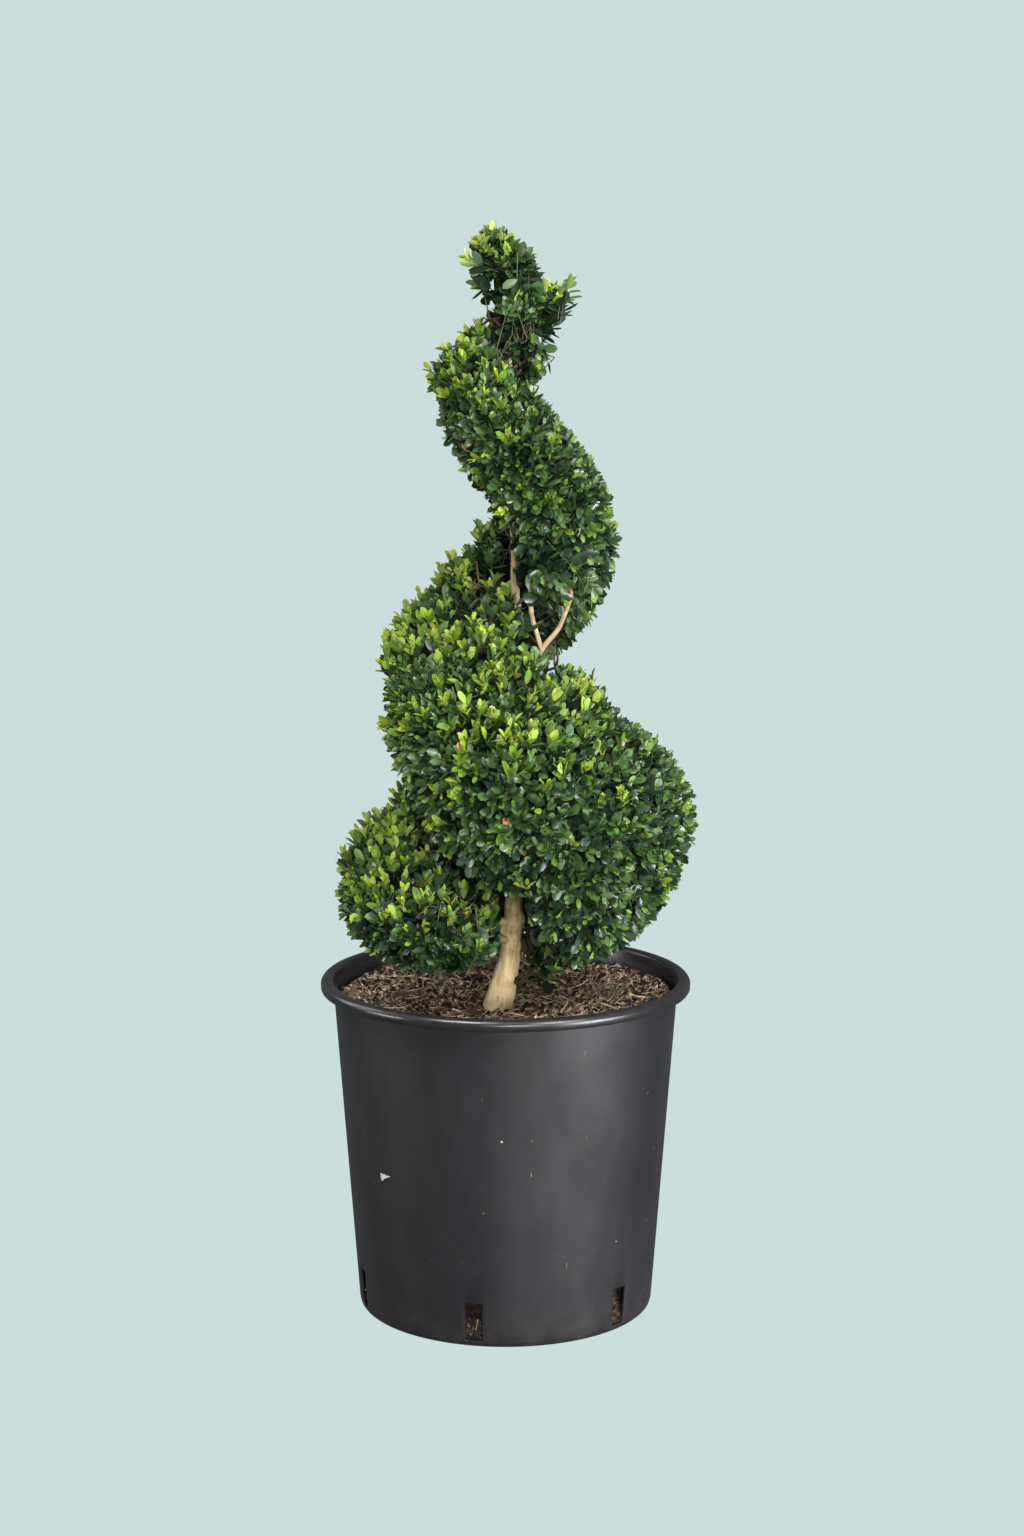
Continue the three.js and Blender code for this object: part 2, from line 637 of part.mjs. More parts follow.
// The bough leaves the stem, cut clear of it, and runs on through its crotch to the tip at the right.
function forkBough(grown) {
  const leave = stemAt(FORK.leaves);
  const way = crotch.clone().sub(leave).setZ(0).normalize();
  const bend = leave.clone().lerp(crotch, 0.5).addScaledVector(way, 7);
  const tip = new THREE.Vector3(...FORK.rightTip);
  const elbow = crotch.clone().lerp(tip, 0.5).add(new THREE.Vector3(3, -1, -3));
  const bough = limb([leave, bend, crotch, elbow, tip], FORK.radius + grown, FORK.tipRadius + grown, 8, 10);
  return largest(cutClear(solidOf(bough), [trunk(CLEAR - grown)]));
}

// The arm at the left starts at the crotch, cut clear of the bough.
function forkArm(grown) {
  const tip = new THREE.Vector3(...FORK.leftTip);
  const elbow = crotch.clone().lerp(tip, 0.5).add(new THREE.Vector3(-4, -1, 0));
  const arm = solidOf(limb([crotch, elbow, tip], FORK.crotchRadius + grown, FORK.tipRadius + grown, 8, 6));
  return largest(cutClear(arm, [forkBough(CLEAR)]));
}

add("pot", pot(), looks.pot);
add("compost", compost(), looks.compost);
add("trunk", trunk(0), looks.bark);
add("fork_bough", forkBough(0), looks.bark);
add("fork_arm", forkArm(0), looks.bark);

const limbs = [trunk(CLEAR), forkBough(CLEAR), forkArm(CLEAR)];
MASS_ENDS.slice(0, -1).forEach((from, i) => {
  const carriedBy = i === FORKED_MASS ? stemsFromFork(3.2) : [];
  const name = `foliage_${String(i + 1).padStart(2, "0")}`;
  add(name, foliageMass(i, from, MASS_ENDS[i + 1], limbs, carriedBy), looks.foliage);
});
add("foliage_tip", knob(limbs), looks.foliage);
add("low_sprigs", lowSprigs(limbs), looks.foliage);

export default spiralTopiary;
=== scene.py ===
import math

import bmesh
import bpy
import numpy as np
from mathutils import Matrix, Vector, kdtree, noise


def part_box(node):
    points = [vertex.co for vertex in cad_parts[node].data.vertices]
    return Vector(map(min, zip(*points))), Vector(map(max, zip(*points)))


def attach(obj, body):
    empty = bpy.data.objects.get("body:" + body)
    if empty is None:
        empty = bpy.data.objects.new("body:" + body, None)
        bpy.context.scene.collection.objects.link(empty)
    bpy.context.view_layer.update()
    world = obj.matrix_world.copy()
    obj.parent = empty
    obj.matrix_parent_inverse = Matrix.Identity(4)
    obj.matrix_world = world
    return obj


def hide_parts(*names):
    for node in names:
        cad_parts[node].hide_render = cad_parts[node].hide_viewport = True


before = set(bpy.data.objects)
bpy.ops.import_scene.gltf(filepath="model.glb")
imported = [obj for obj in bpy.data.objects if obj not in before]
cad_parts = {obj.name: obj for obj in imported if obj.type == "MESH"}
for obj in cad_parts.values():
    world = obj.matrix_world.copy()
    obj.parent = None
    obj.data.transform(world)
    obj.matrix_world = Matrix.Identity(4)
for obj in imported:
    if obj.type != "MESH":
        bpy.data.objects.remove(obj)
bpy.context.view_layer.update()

# ---- the view -----------------------------------------------------------------------------------------
# The plant is seen from the front, a little from above, from three metres away. The small shift only
# centres it in the upright picture.
camera_data = bpy.data.cameras.new("camera")
camera_data.lens = 65.6
camera_data.shift_x = 0.0042
camera_data.shift_y = 0.0221
camera = bpy.data.objects.new("camera", camera_data)
camera.location = (0, -2.956, 1.076)
camera.rotation_euler = (math.radians(80), 0, 0)
bpy.context.collection.objects.link(camera)
bpy.context.scene.camera = camera

# ---- the container ------------------------------------------------------------------------------------
# A 30-litre nursery container, injection moulded in black polypropylene in one shot: a tapering wall, a
# flat flange turned down into a rounded lip, and six drain slots cut through the foot of the wall.
rim_radius, _, rim_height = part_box("pot")[1]
foot_radius = 0.8 * rim_radius
body_top_radius = 0.935 * rim_radius
wall = 0.003
lip_height = 0.012
foot_round = 0.005
floor_height = 0.004
slot_sill, slot_head = 0.007, 0.049
slot_count = 6
first_slot = math.radians(-102)
pot_segments = 216
slot_segments = 4  # a slot is this many segments wide


def body_radius(height):
    """The outside of the tapering wall."""
    return foot_radius + (body_top_radius - foot_radius) * height / rim_height


def arc(centre, radius, first, last, steps):
    """Points (radius, height) on a round stretch of a profile, from one angle in degrees to another."""
    angles = [math.radians(first + (last - first) * i / steps) for i in range(steps + 1)]
    return [(centre[0] + radius * math.cos(a), centre[1] + radius * math.sin(a)) for a in angles]


def new_object(name, mesh):
    """An object that stands in the scene."""
    made = bpy.data.objects.new(name, mesh)
    bpy.context.collection.objects.link(made)
    return made


def mesh_from(shape, name):
    """Turns a shape into a mesh, and lets the shape go."""
    mesh = bpy.data.meshes.new(name)
    shape.to_mesh(mesh)
    shape.free()
    return mesh


def material_of(name, roughness, **sockets):
    """A material with its Principled shader, and the shader's own plain values."""
    made = bpy.data.materials.new(name)
    made.use_nodes = True
    shader = made.node_tree.nodes["Principled BSDF"]
    shader.inputs["Roughness"].default_value = roughness
    for socket, value in sockets.items():
        shader.inputs[socket.replace("_", " ")].default_value = value
    return made, made.node_tree, shader


def socket_of(sockets, key):
    """The socket in use under a name (a mix node has several of each name) or number."""
    return sockets[key] if isinstance(key, int) else next(s for s in sockets if s.name == key and s.enabled)


def add_node(tree, kind, inputs=(), **settings):
    """Adds a node, sets it up, and links or fills its inputs, given as {socket: value or other socket}."""
    made = tree.nodes.new(kind)
    for name, value in settings.items():
        setattr(made, name, value)
    for key, value in dict(inputs).items():
        if isinstance(value, bpy.types.NodeSocket):
            tree.links.new(value, socket_of(made.inputs, key))
        else:
            socket_of(made.inputs, key).default_value = value
    return made


def arithmetic(tree, operation, first, second):
    """One step of arithmetic on two sockets or numbers."""
    return add_node(tree, "ShaderNodeMath", {0: first, 1: second}, operation=operation).outputs["Value"]


def ranged(tree, value, start, end, to_start=0.0, to_end=1.0):
    """A value carried over from one range to another, and kept within it."""
    ranges = {"From Min": start, "From Max": end, "To Min": to_start, "To Max": to_end}
    return socket_of(add_node(tree, "ShaderNodeMapRange", {"Value": value, **ranges}).outputs, "Result")


def mixed(tree, factor, colour, other):
    """Two colours mixed, from the first one at 0 to the other at 1."""
    inputs = {"Factor": factor, "A": colour, "B": other}
    return socket_of(add_node(tree, "ShaderNodeMix", inputs, data_type="RGBA").outputs, "Result")


def noise_at(tree, place, scale, detail, roughness=0.5):
    """Cloudy noise at a place, about 0.5 on average."""
    inputs = {"Vector": place, "Scale": scale, "Detail": detail, "Roughness": roughness}
    return add_node(tree, "ShaderNodeTexNoise", inputs).outputs["Fac"]


def place_in(tree):
    """The place on the object, and its height."""
    place = add_node(tree, "ShaderNodeTexCoord").outputs["Object"]
    return place, add_node(tree, "ShaderNodeSeparateXYZ", {"Vector": place}).outputs["Z"]


def bumped(tree, shader, height, strength, distance):
    """Raises the surface in the light by a height from 0 to 1."""
    bump = add_node(tree, "ShaderNodeBump", {"Strength": strength, "Distance": distance, "Height": height})
    tree.links.new(bump.outputs["Normal"], shader.inputs["Normal"])


def new_group(name, kind, inputs, outputs):
    """A node group with named sockets: {name: (socket type, default)} in, {name: socket type} out."""
    tree = bpy.data.node_groups.new(name, kind)
    for socket, (socket_type, default) in inputs.items():
        made = tree.interface.new_socket(socket, in_out="INPUT", socket_type=socket_type)
        if default is not None:
            made.default_value = default
    for socket, socket_type in outputs.items():
        tree.interface.new_socket(socket, in_out="OUTPUT", socket_type=socket_type)
    return tree, tree.nodes.new("NodeGroupInput"), tree.nodes.new("NodeGroupOutput")


# Shared effect: one colour broken up by another in cloudy noise.
mottle, entry, leave = new_group(
    "mottle",
    "ShaderNodeTree",
    {
        "Color": ("NodeSocketColor", (0.5, 0.5, 0.5, 1)),
        "Other Color": ("NodeSocketColor", (0.3, 0.3, 0.3, 1)),
        "Scale": ("NodeSocketFloat", 20),
        "Low": ("NodeSocketFloat", 0.4),
        "High": ("NodeSocketFloat", 0.6),
    },
    {"Color": "NodeSocketColor", "Mask": "NodeSocketFloat"},
)
place = add_node(mottle, "ShaderNodeTexCoord")
clouds = noise_at(mottle, place.outputs["Object"], entry.outputs["Scale"], 4, 0.6)
spread = ranged(mottle, clouds, entry.outputs["Low"], entry.outputs["High"])
blend = mixed(mottle, spread, entry.outputs["Color"], entry.outputs["Other Color"])
mottle.links.new(blend, leave.inputs["Color"])
mottle.links.new(spread, leave.inputs["Mask"])

# Shared effect: a mask of thin streaks, such as scuffs on plastic or the grain of bark, drawn out along Z.
streaks, entry, leave = new_group(
    "streaks",
    "ShaderNodeTree",
    {
        "Across": ("NodeSocketFloat", 150),
        "Along": ("NodeSocketFloat", 8),
        "Low": ("NodeSocketFloat", 0.6),
        "High": ("NodeSocketFloat", 0.7),
    },
    {"Mask": "NodeSocketFloat"},
)
place = add_node(streaks, "ShaderNodeTexCoord")
stretch = add_node(
    streaks,
    "ShaderNodeCombineXYZ",
    {"X": entry.outputs["Across"], "Y": entry.outputs["Across"], "Z": entry.outputs["Along"]},
)
stretched = add_node(
    streaks,
    "ShaderNodeVectorMath",
    {0: place.outputs["Object"], 1: stretch.outputs["Vector"]},
    operation="MULTIPLY",
)
lines = noise_at(streaks, stretched.outputs["Vector"], 1, 3, 0.55)
picked = ranged(streaks, lines, entry.outputs["Low"], entry.outputs["High"])
streaks.links.new(picked, leave.inputs["Mask"])


def place_group(tree, group, **inputs):
    """Puts a shared effect into a material, with this material's own values."""
    made = tree.nodes.new("ShaderNodeGroup")
    made.node_tree = group
    for key, value in inputs.items():
        made.inputs[key.replace("_", " ")].default_value = value
    return made


def cloudy_material(name, roughness, colour, other, scale, low, high, **sockets):
    """A material whose colour is broken up by cloudy noise, and the socket of that colour."""
    made, tree, shader = material_of(name, roughness, **sockets)
    tones = {"Color": (*colour, 1), "Other_Color": (*other, 1)}
    tone = place_group(tree, mottle, Scale=scale, Low=low, High=high, **tones).outputs["Color"]
    tree.links.new(tone, shader.inputs["Base Color"])
    return made, tree, shader, tone


# The section of the wall, from the middle of the underside up the outside, over the rim and down inside.
flange = rim_height - 0.004
slot_rows = [slot_sill + (slot_head - slot_sill) * i / 4 for i in range(5)]
wall_rows = slot_rows + [slot_head + (flange - slot_head) * i / 9 for i in range(1, 10)]
outside = [(0, 0), (0.5 * foot_radius, 0)]
outside += arc((foot_radius - foot_round, foot_round), foot_round, -90, -10, 5)[:-1]
outside += [(body_radius(height), height) for height in wall_rows]
outer_round, inner_round, edge_round = 0.0065, 0.004, 0.0018  # the rim's, outside, inside and at its edge
over_rim = [(body_radius(flange) + 0.001, flange + 0.0006), (rim_radius - 0.005, flange + 0.0006)]
over_rim += [(rim_radius - 0.0042, flange - 0.001), (rim_radius - 0.004, rim_height - lip_height + 0.001)]
over_rim += arc((rim_radius - 0.002, rim_height - lip_height + edge_round), edge_round, 200, 350, 5)
over_rim += arc((rim_radius - outer_round, rim_height - outer_round), outer_round, 8, 84, 7)
over_rim += arc((body_radius(flange) - wall + 0.006, rim_height - 0.0042), inner_round, 98, 172, 6)
inside = [(body_radius(height) - wall, height) for height in reversed(wall_rows[:-1])]
inside += [(body_radius(floor_height) - wall - 0.001, floor_height), (0, floor_height)]
section = outside + over_rim + inside
first_outer_row = section.index((body_radius(slot_sill), slot_sill))
last_inner_row = section.index((body_radius(slot_sill) - wall, slot_sill))

pot_shape = bmesh.new()
rings = []
for radius, height in section:
    if radius == 0:
        rings.append([pot_shape.verts.new((0, 0, height))] * pot_segments)
        continue
    ring = []
    for i in range(pot_segments):
        turn = first_slot + 2 * math.pi * (i - slot_segments / 2) / pot_segments
        ring.append(pot_shape.verts.new((radius * math.cos(turn), radius * math.sin(turn), height)))
    rings.append(ring)


def in_slot(segment):
    """Whether a segment of the wall lies in one of the evenly spaced slots."""
    return segment % (pot_segments // slot_count) < slot_segments


slot_steps = len(slot_rows) - 1
for row in range(len(rings) - 1):
    opened = first_outer_row <= row < first_outer_row + slot_steps
    opened = opened or last_inner_row - slot_steps <= row < last_inner_row
    for i in range(pot_segments):
        if opened and in_slot(i):
            continue
        j = (i + 1) % pot_segments
        corners = [rings[row][i], rings[row][j], rings[row + 1][j], rings[row + 1][i]]
        pot_shape.faces.new(list(dict.fromkeys(corners)))
# The slots' sills, heads and cheeks join the outside of the wall to its inside.
for i in range(pot_segments):
    if not in_slot(i):
        continue
    j = (i + 1) % pot_segments
    for step in (0, slot_steps):
        outer, inner = rings[first_outer_row + step], rings[last_inner_row - step]
        pot_shape.faces.new([outer[i], outer[j], inner[j], inner[i]])
    for k, edge_here in ((i, not in_slot(i - 1)), (j, not in_slot(j))):
        if not edge_here:
            continue
        for step in range(slot_steps):
            outer, above = rings[first_outer_row + step], rings[first_outer_row + step + 1]
            inner, inner_above = rings[last_inner_row - step], rings[last_inner_row - step - 1]
            pot_shape.faces.new([outer[k], above[k], inner_above[k], inner[k]])
bmesh.ops.recalc_face_normals(pot_shape, faces=pot_shape.faces)
sharp = []
for edge in pot_shape.edges:
    by_slot = slot_sill - 0.001 < edge.verts[0].co.z < slot_head + 0.001
    if by_slot and len(edge.link_faces) == 2 and edge.calc_face_angle() > 1.0:
        sharp.append(edge)
bmesh.ops.bevel(pot_shape, geom=sharp, offset=0.0005, segments=2, affect="EDGES", profile=0.5)
pot_mesh = mesh_from(pot_shape, "container")
pot_mesh.shade_smooth()
pot_mesh.set_sharp_from_angle(angle=math.radians(40))
container = new_object("container", pot_mesh)

near_black, soft_black = (0.0085, 0.008, 0.0095), (0.012, 0.0115, 0.0135)
plastic, tree, shader, tone = cloudy_material(
    "black_polypropylene", 0.4, near_black, soft_black, 9, 0.35, 0.7, Specular_IOR_Level=0.5
)
place, level = place_in(tree)
# Splashed soil has dried on the foot of the wall and on the flange.
dust_clouds = place_group(tree, mottle, Scale=60, Low=0.42, High=0.62).outputs["Mask"]
low_down = ranged(tree, level, 0.05, 0, 0, 0.2)
on_rim = ranged(tree, level, rim_height - 0.006, rim_height - 0.001, 0, 0.15)
dusty = arithmetic(tree, "MULTIPLY", arithmetic(tree, "ADD", low_down, on_rim), dust_clouds)
with_dust = mixed(tree, dusty, tone, (0.05, 0.038, 0.03, 1))
# Pale scuffs and a few specks are left from handling.
scuffs = place_group(tree, streaks, Across=210, Along=70, Low=0.73, High=0.78).outputs["Mask"]
worn = arithmetic(tree, "MULTIPLY", scuffs, 0.35)
specks = add_node(tree, "ShaderNodeTexVoronoi", {"Vector": place, "Scale": 34, "Randomness": 1}, feature="F1")
speck = ranged(tree, specks.outputs["Distance"], 0.06, 0.025)
few = arithmetic(tree, "GREATER_THAN", specks.outputs["Color"], 0.8)
marks = arithmetic(tree, "MAXIMUM", worn, arithmetic(tree, "MULTIPLY", speck, few))
tree.links.new(mixed(tree, marks, with_dust, (0.3, 0.29, 0.27, 1)), shader.inputs["Base Color"])
# The wall is rubbed a little duller in places, and hands have polished the lip.
rub = place_group(tree, streaks, Across=14, Along=5, Low=0.45, High=0.68).outputs["Mask"]
rubbed = ranged(tree, rub, 0, 1, 0.4, 0.5)
lip_foot = rim_height - lip_height
polished = ranged(tree, level, lip_foot - 0.004, lip_foot + 0.002, 0, 0.14)
tree.links.new(arithmetic(tree, "SUBTRACT", rubbed, polished), shader.inputs["Roughness"])
# The wall waves a little, and its surface has a fine grain.
waves = arithmetic(tree, "MULTIPLY", noise_at(tree, place, 26, 2), 6.0)
bumped(tree, shader, arithmetic(tree, "ADD", waves, noise_at(tree, place, 900, 2)), 0.25, 0.00025)
container.data.materials.append(plastic)
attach(container, "root")
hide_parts("pot")

# A torn scrap of pale film, a corner left of something once stuck to the wall, lies flat on it at the left.
scrap_height, scrap_turn = 0.173, math.radians(-137)
scrap_corners = [(-0.008, 0.0035), (0.0075, 0.003), (-0.001, -0.001), (-0.007, -0.005)]
scrap_shape = bmesh.new()
scrap_verts = []
for across, up in scrap_corners:
    height = scrap_height + up
    radius = body_radius(height) + 0.0004
    turn = scrap_turn + across / radius
    scrap_verts.append(scrap_shape.verts.new((radius * math.cos(turn), radius * math.sin(turn), height)))
scrap_shape.faces.new(scrap_verts)
bmesh.ops.triangulate(scrap_shape, faces=scrap_shape.faces)
torn_film = new_object("torn_film", mesh_from(scrap_shape, "torn_film"))
thickness = torn_film.modifiers.new("thickness", "SOLIDIFY")
thickness.thickness = 0.0003
thickness.offset = 1
film, *_ = cloudy_material("pale_film", 0.6, (0.5, 0.51, 0.5), (0.22, 0.225, 0.22), 120, 0.4, 0.65)
torn_film.data.materials.append(film)
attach(torn_film, "root")

# ---- the compost --------------------------------------------------------------------------------------
# Dark peat and bark compost, dug loose on top by watering and roots, that fills the container to a few
# centimetres under its rim. Old roots and straw lie on it, and it shows in the drain slots.
soil_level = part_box("trunk")[0].z
soil_radius = body_radius(soil_level) - wall - 0.0008
soil_segments = 240
soil_rings = 84
bank_height, bank_starts = 0.018, 0.35  # how high it is banked up to the wall, from which share outwards
slump_depth = 0.008  # how far it has slumped back behind the slots
swell_height, clod_height, crumb_height = 0.005, 0.0042, 0.0011
slot_fill, slot_half_width = 0.026, 0.0075  # what still lies in a slot reaches this high and wide


def soil_height(x, y):
    """The surface is dished by watering and banked up to the wall, with clods of several sizes."""
    broad = noise.noise(Vector((14 * x, 14 * y, 3.1)))
    clods = noise.fractal(Vector((70 * x, 70 * y, 8.7)), 0.9, 2.1, 4)
    crumbs = noise.noise(Vector((330 * x, 330 * y, 1.7)))
    across = math.hypot(x, y) / soil_radius
    banked = bank_height * min(1, max(0, (across - bank_starts) / 0.6)) ** 1.6
    swollen = soil_level + banked + swell_height * broad * across
    return swollen + clod_height * clods + crumb_height * crumbs - 0.0006


soil_shape = bmesh.new()
centre = soil_shape.verts.new((0, 0, soil_height(0, 0)))
rings = []
for ring in range(1, soil_rings + 1):
    radius = soil_radius * ring / soil_rings
    points = []
    for i in range(soil_segments):
        turn = 2 * math.pi * i / soil_segments
        x, y = radius * math.cos(turn), radius * math.sin(turn)
        points.append(soil_shape.verts.new((x, y, soil_height(x, y))))
    rings.append(points)
down_the_wall = [0.3, 0.2, 0.1] + [0.052 - 0.006 * i for i in range(8)] + [floor_height + 0.0005]
for height in down_the_wall:
    points = []
    for i in range(soil_segments):
        turn = 2 * math.pi * i / soil_segments
        rough = 0.0014 * abs(noise.noise(Vector((60 * math.cos(turn), 60 * math.sin(turn), 250 * height))))
        slumped = slump_depth * min(1, max(0, (height - 0.016) / 0.014)) * (height < slot_head + 0.004)
        radius = body_radius(height) - wall - 0.0006 - rough * (height < 0.06) - slumped
        points.append(soil_shape.verts.new((radius * math.cos(turn), radius * math.sin(turn), height)))
    rings.append(points)
bottom = soil_shape.verts.new((0, 0, floor_height + 0.0005))
for i in range(soil_segments):
    j = (i + 1) % soil_segments
    soil_shape.faces.new([centre, rings[0][i], rings[0][j]])
    soil_shape.faces.new([bottom, rings[-1][j], rings[-1][i]])
    for near, far in zip(rings, rings[1:]):
        soil_shape.faces.new([near[i], far[i], far[j], near[j]])
soil_mesh = mesh_from(soil_shape, "compost")
soil_mesh.shade_smooth()
compost = new_object("compost_bed", soil_mesh)

black_peat, brown_peat = (0.016, 0.01, 0.007), (0.21, 0.135, 0.09)
peat, tree, shader, tone = cloudy_material(
    "moist_compost", 0.92, black_peat, brown_peat, 170, 0.45, 0.62, Specular_IOR_Level=0.25
)
place, level = place_in(tree)
# It is painted darker towards the foot, where it shows in the drain slots: painted shade in the slots.
unshaded_share = ranged(tree, level, slot_head, 2 * slot_head, 0.15, 1)
tree.links.new(mixed(tree, unshaded_share, (0.008, 0.005, 0.0035, 1), tone), shader.inputs["Base Color"])
bumped(tree, shader, noise_at(tree, place, 420, 5), 0.9, 0.0012)
compost.data.materials.append(peat)
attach(compost, "root")
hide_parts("compost")


def copies_on(tree, points, piece, rotation, scale):
    """Copies of an object's shape on points."""
    shape = add_node(tree, "GeometryNodeObjectInfo", {"Object": piece})
    inputs = {"Points": points, "Instance": shape.outputs["Geometry"], "Rotation": rotation, "Scale": scale}
    return add_node(tree, "GeometryNodeInstanceOnPoints", inputs).outputs["Instances"]


def finish_group(tree, geometry, material, result):
    """Ends a rule: what it made is made real, gets its material, and goes out."""
    real = add_node(tree, "GeometryNodeRealizeInstances", {"Geometry": geometry}).outputs["Geometry"]
    dressed = add_node(tree, "GeometryNodeSetMaterial", {"Geometry": real, "Material": material})
    tree.links.new(dressed.outputs["Geometry"], result)


# What lies loose is scattered by one rule: pieces of one kind, each turned and sized by chance.
scatter, entry, leave = new_group(
    "scatter",
    "GeometryNodeTree",
    {
        "Ground": ("NodeSocketGeometry", None),
        "Piece": ("NodeSocketObject", None),
        "Density": ("NodeSocketFloat", 1000.0),
        "Seed": ("NodeSocketInt", 1),
        "Smallest": ("NodeSocketFloat", 0.5),
        "Largest": ("NodeSocketFloat", 1.0),
        "Tilt": ("NodeSocketFloat", 0.2),
        "Material": ("NodeSocketMaterial", None),
    },
    {"Pieces": "NodeSocketGeometry"},
)
points = add_node(
    scatter,
    "GeometryNodeDistributePointsOnFaces",
    {
        "Mesh": entry.outputs["Ground"],
        "Density": entry.outputs["Density"],
        "Seed": entry.outputs["Seed"],
    },
)
tilt_back = arithmetic(scatter, "MULTIPLY", entry.outputs["Tilt"], -1.0)
least = add_node(scatter, "ShaderNodeCombineXYZ", {"X": tilt_back, "Y": tilt_back, "Z": 0.0})
most = add_node(
    scatter,
    "ShaderNodeCombineXYZ",
    {"X": entry.outputs["Tilt"], "Y": entry.outputs["Tilt"], "Z": 2 * math.pi},
)
turn_by = add_node(scatter, "FunctionNodeRandomValue", {}, data_type="FLOAT_VECTOR")
scatter.links.new(least.outputs["Vector"], turn_by.inputs[0])
scatter.links.new(most.outputs["Vector"], turn_by.inputs[1])
scatter.links.new(entry.outputs["Seed"], turn_by.inputs["Seed"])
spin = add_node(scatter, "FunctionNodeEulerToRotation", {"Euler": turn_by.outputs[0]})
turned = add_node(
    scatter,
    "FunctionNodeRotateRotation",
    {"Rotation": points.outputs["Rotation"], "Rotate By": spin.outputs["Rotation"]},
    rotation_space="LOCAL",
)
sized = add_node(scatter, "FunctionNodeRandomValue", {}, data_type="FLOAT")
scatter.links.new(entry.outputs["Smallest"], sized.inputs[2])
scatter.links.new(entry.outputs["Largest"], sized.inputs[3])
scatter.links.new(entry.outputs["Seed"], sized.inputs["Seed"])
laid = copies_on(
    scatter,
    points.outputs["Points"],
    entry.outputs["Piece"],
    turned.outputs["Rotation"],
    sized.outputs[1],
)
finish_group(scatter, laid, entry.outputs["Material"], leave.inputs["Pieces"])


def grown(name, base, group, **inputs):
    """Runs a geometry tree on a mesh and returns the result as a plain mesh object of that name."""
    carrier = new_object(name + "_carrier", base)
    modifier = carrier.modifiers.new("rule", "NODES")
    modifier.node_group = group
    for item in group.interface.items_tree:
        key = item.name.replace(" ", "_")
        if item.item_type == "SOCKET" and item.in_out == "INPUT" and key in inputs:
            modifier[item.identifier] = inputs[key]
    bpy.context.view_layer.update()
    depsgraph = bpy.context.evaluated_depsgraph_get()
    mesh = bpy.data.meshes.new_from_object(carrier.evaluated_get(depsgraph), depsgraph=depsgraph)
    mesh.name = name
    bpy.data.objects.remove(carrier)
    return new_object(name, mesh)


def lump(name, size, squash, roughness, seed):
    """A small broken lump: a twenty-faced ball with its corners pushed about."""
    shape = bmesh.new()
    bmesh.ops.create_icosphere(shape, subdivisions=1, radius=size / 2)
    for vert in shape.verts:
        push = 1 + roughness * noise.noise(vert.co / size * 2.5 + Vector((seed, 0, 0)))
        vert.co = Vector((vert.co.x * push, vert.co.y * push * 0.8, vert.co.z * push * squash))
    return bpy.data.objects.new(name, mesh_from(shape, name))


def skin_tube(shape, rings):
    """Joins rings of points into a closed tube."""
    for near, far in zip(rings, rings[1:]):
        for side in range(len(near)):
            other = (side + 1) % len(near)
            shape.faces.new([near[side], near[other], far[other], far[side]])
    shape.faces.new(list(reversed(rings[0])))
    shape.faces.new(rings[-1])
    bmesh.ops.recalc_face_normals(shape, faces=shape.faces)


def thread(name, length, radius, bend, sides, steps, seed):
    """A thin root or straw that lies in a bent line."""
    chance = np.random.default_rng(seed)
    shape = bmesh.new()
    rings = []
    heading, spot = 0.0, Vector((-length / 2, 0, radius))
    for step in range(steps + 1):
        along = Vector((math.cos(heading), math.sin(heading), 0))
        across = Vector((-along.y, along.x, 0))
        thin = radius * (1 - 0.5 * step / steps)
        ring = []
        for side in range(sides):
            turn = 2 * math.pi * side / sides
            out = math.cos(turn) * across + math.sin(turn) * Vector((0, 0, 1))
            ring.append(shape.verts.new(spot + thin * out))
        rings.append(ring)
        spot = spot + along * length / steps + Vector((0, 0, chance.uniform(-0.03, 0.03) * length / steps))
        heading += chance.uniform(-bend, bend)
    skin_tube(shape, rings)
    return bpy.data.objects.new(name, mesh_from(shape, name))


def patch_of_compost(wanted):
    """A copy of the compost's surface where the middle of a face is wanted, to scatter on."""
    shape = bmesh.new()
    shape.from_mesh(compost.data)
    gone = [face for face in shape.faces if not wanted(face.calc_center_median())]
    bmesh.ops.delete(shape, geom=gone, context="FACES")
    return mesh_from(shape, "patch")


def top_patch(radius):
    """The compost's top out to a radius."""
    lowest = soil_level - 0.02
    return patch_of_compost(lambda spot: spot.z >= lowest and 0 < math.hypot(spot.x, spot.y) < radius)


def in_slot_foot(spot):
    """Whether a place on the compost shows in the foot of a drain slot."""
    pitch = 2 * math.pi / slot_count
    turn = (math.atan2(spot.y, spot.x) - first_slot) % pitch
    aside = min(turn, pitch - turn) * foot_radius
    return slot_sill + 0.002 < spot.z < slot_fill and aside <= slot_half_width


def ground_tone(name, colour, other, scale, roughness, low=0.46, high=0.57):
    """The tones of what lies on the ground, darker in damp patches."""
    made, tree, shader, tone = cloudy_material(
        name, roughness, colour, other, scale, low, high, Specular_IOR_Level=0.3
    )
    damp = place_group(tree, mottle, Scale=24, Low=0.5, High=0.66).outputs["Mask"]
    darker = tuple(0.22 * part for part in other)
    tree.links.new(mixed(tree, damp, tone, (*darker, 1)), shader.inputs["Base Color"])
    return made


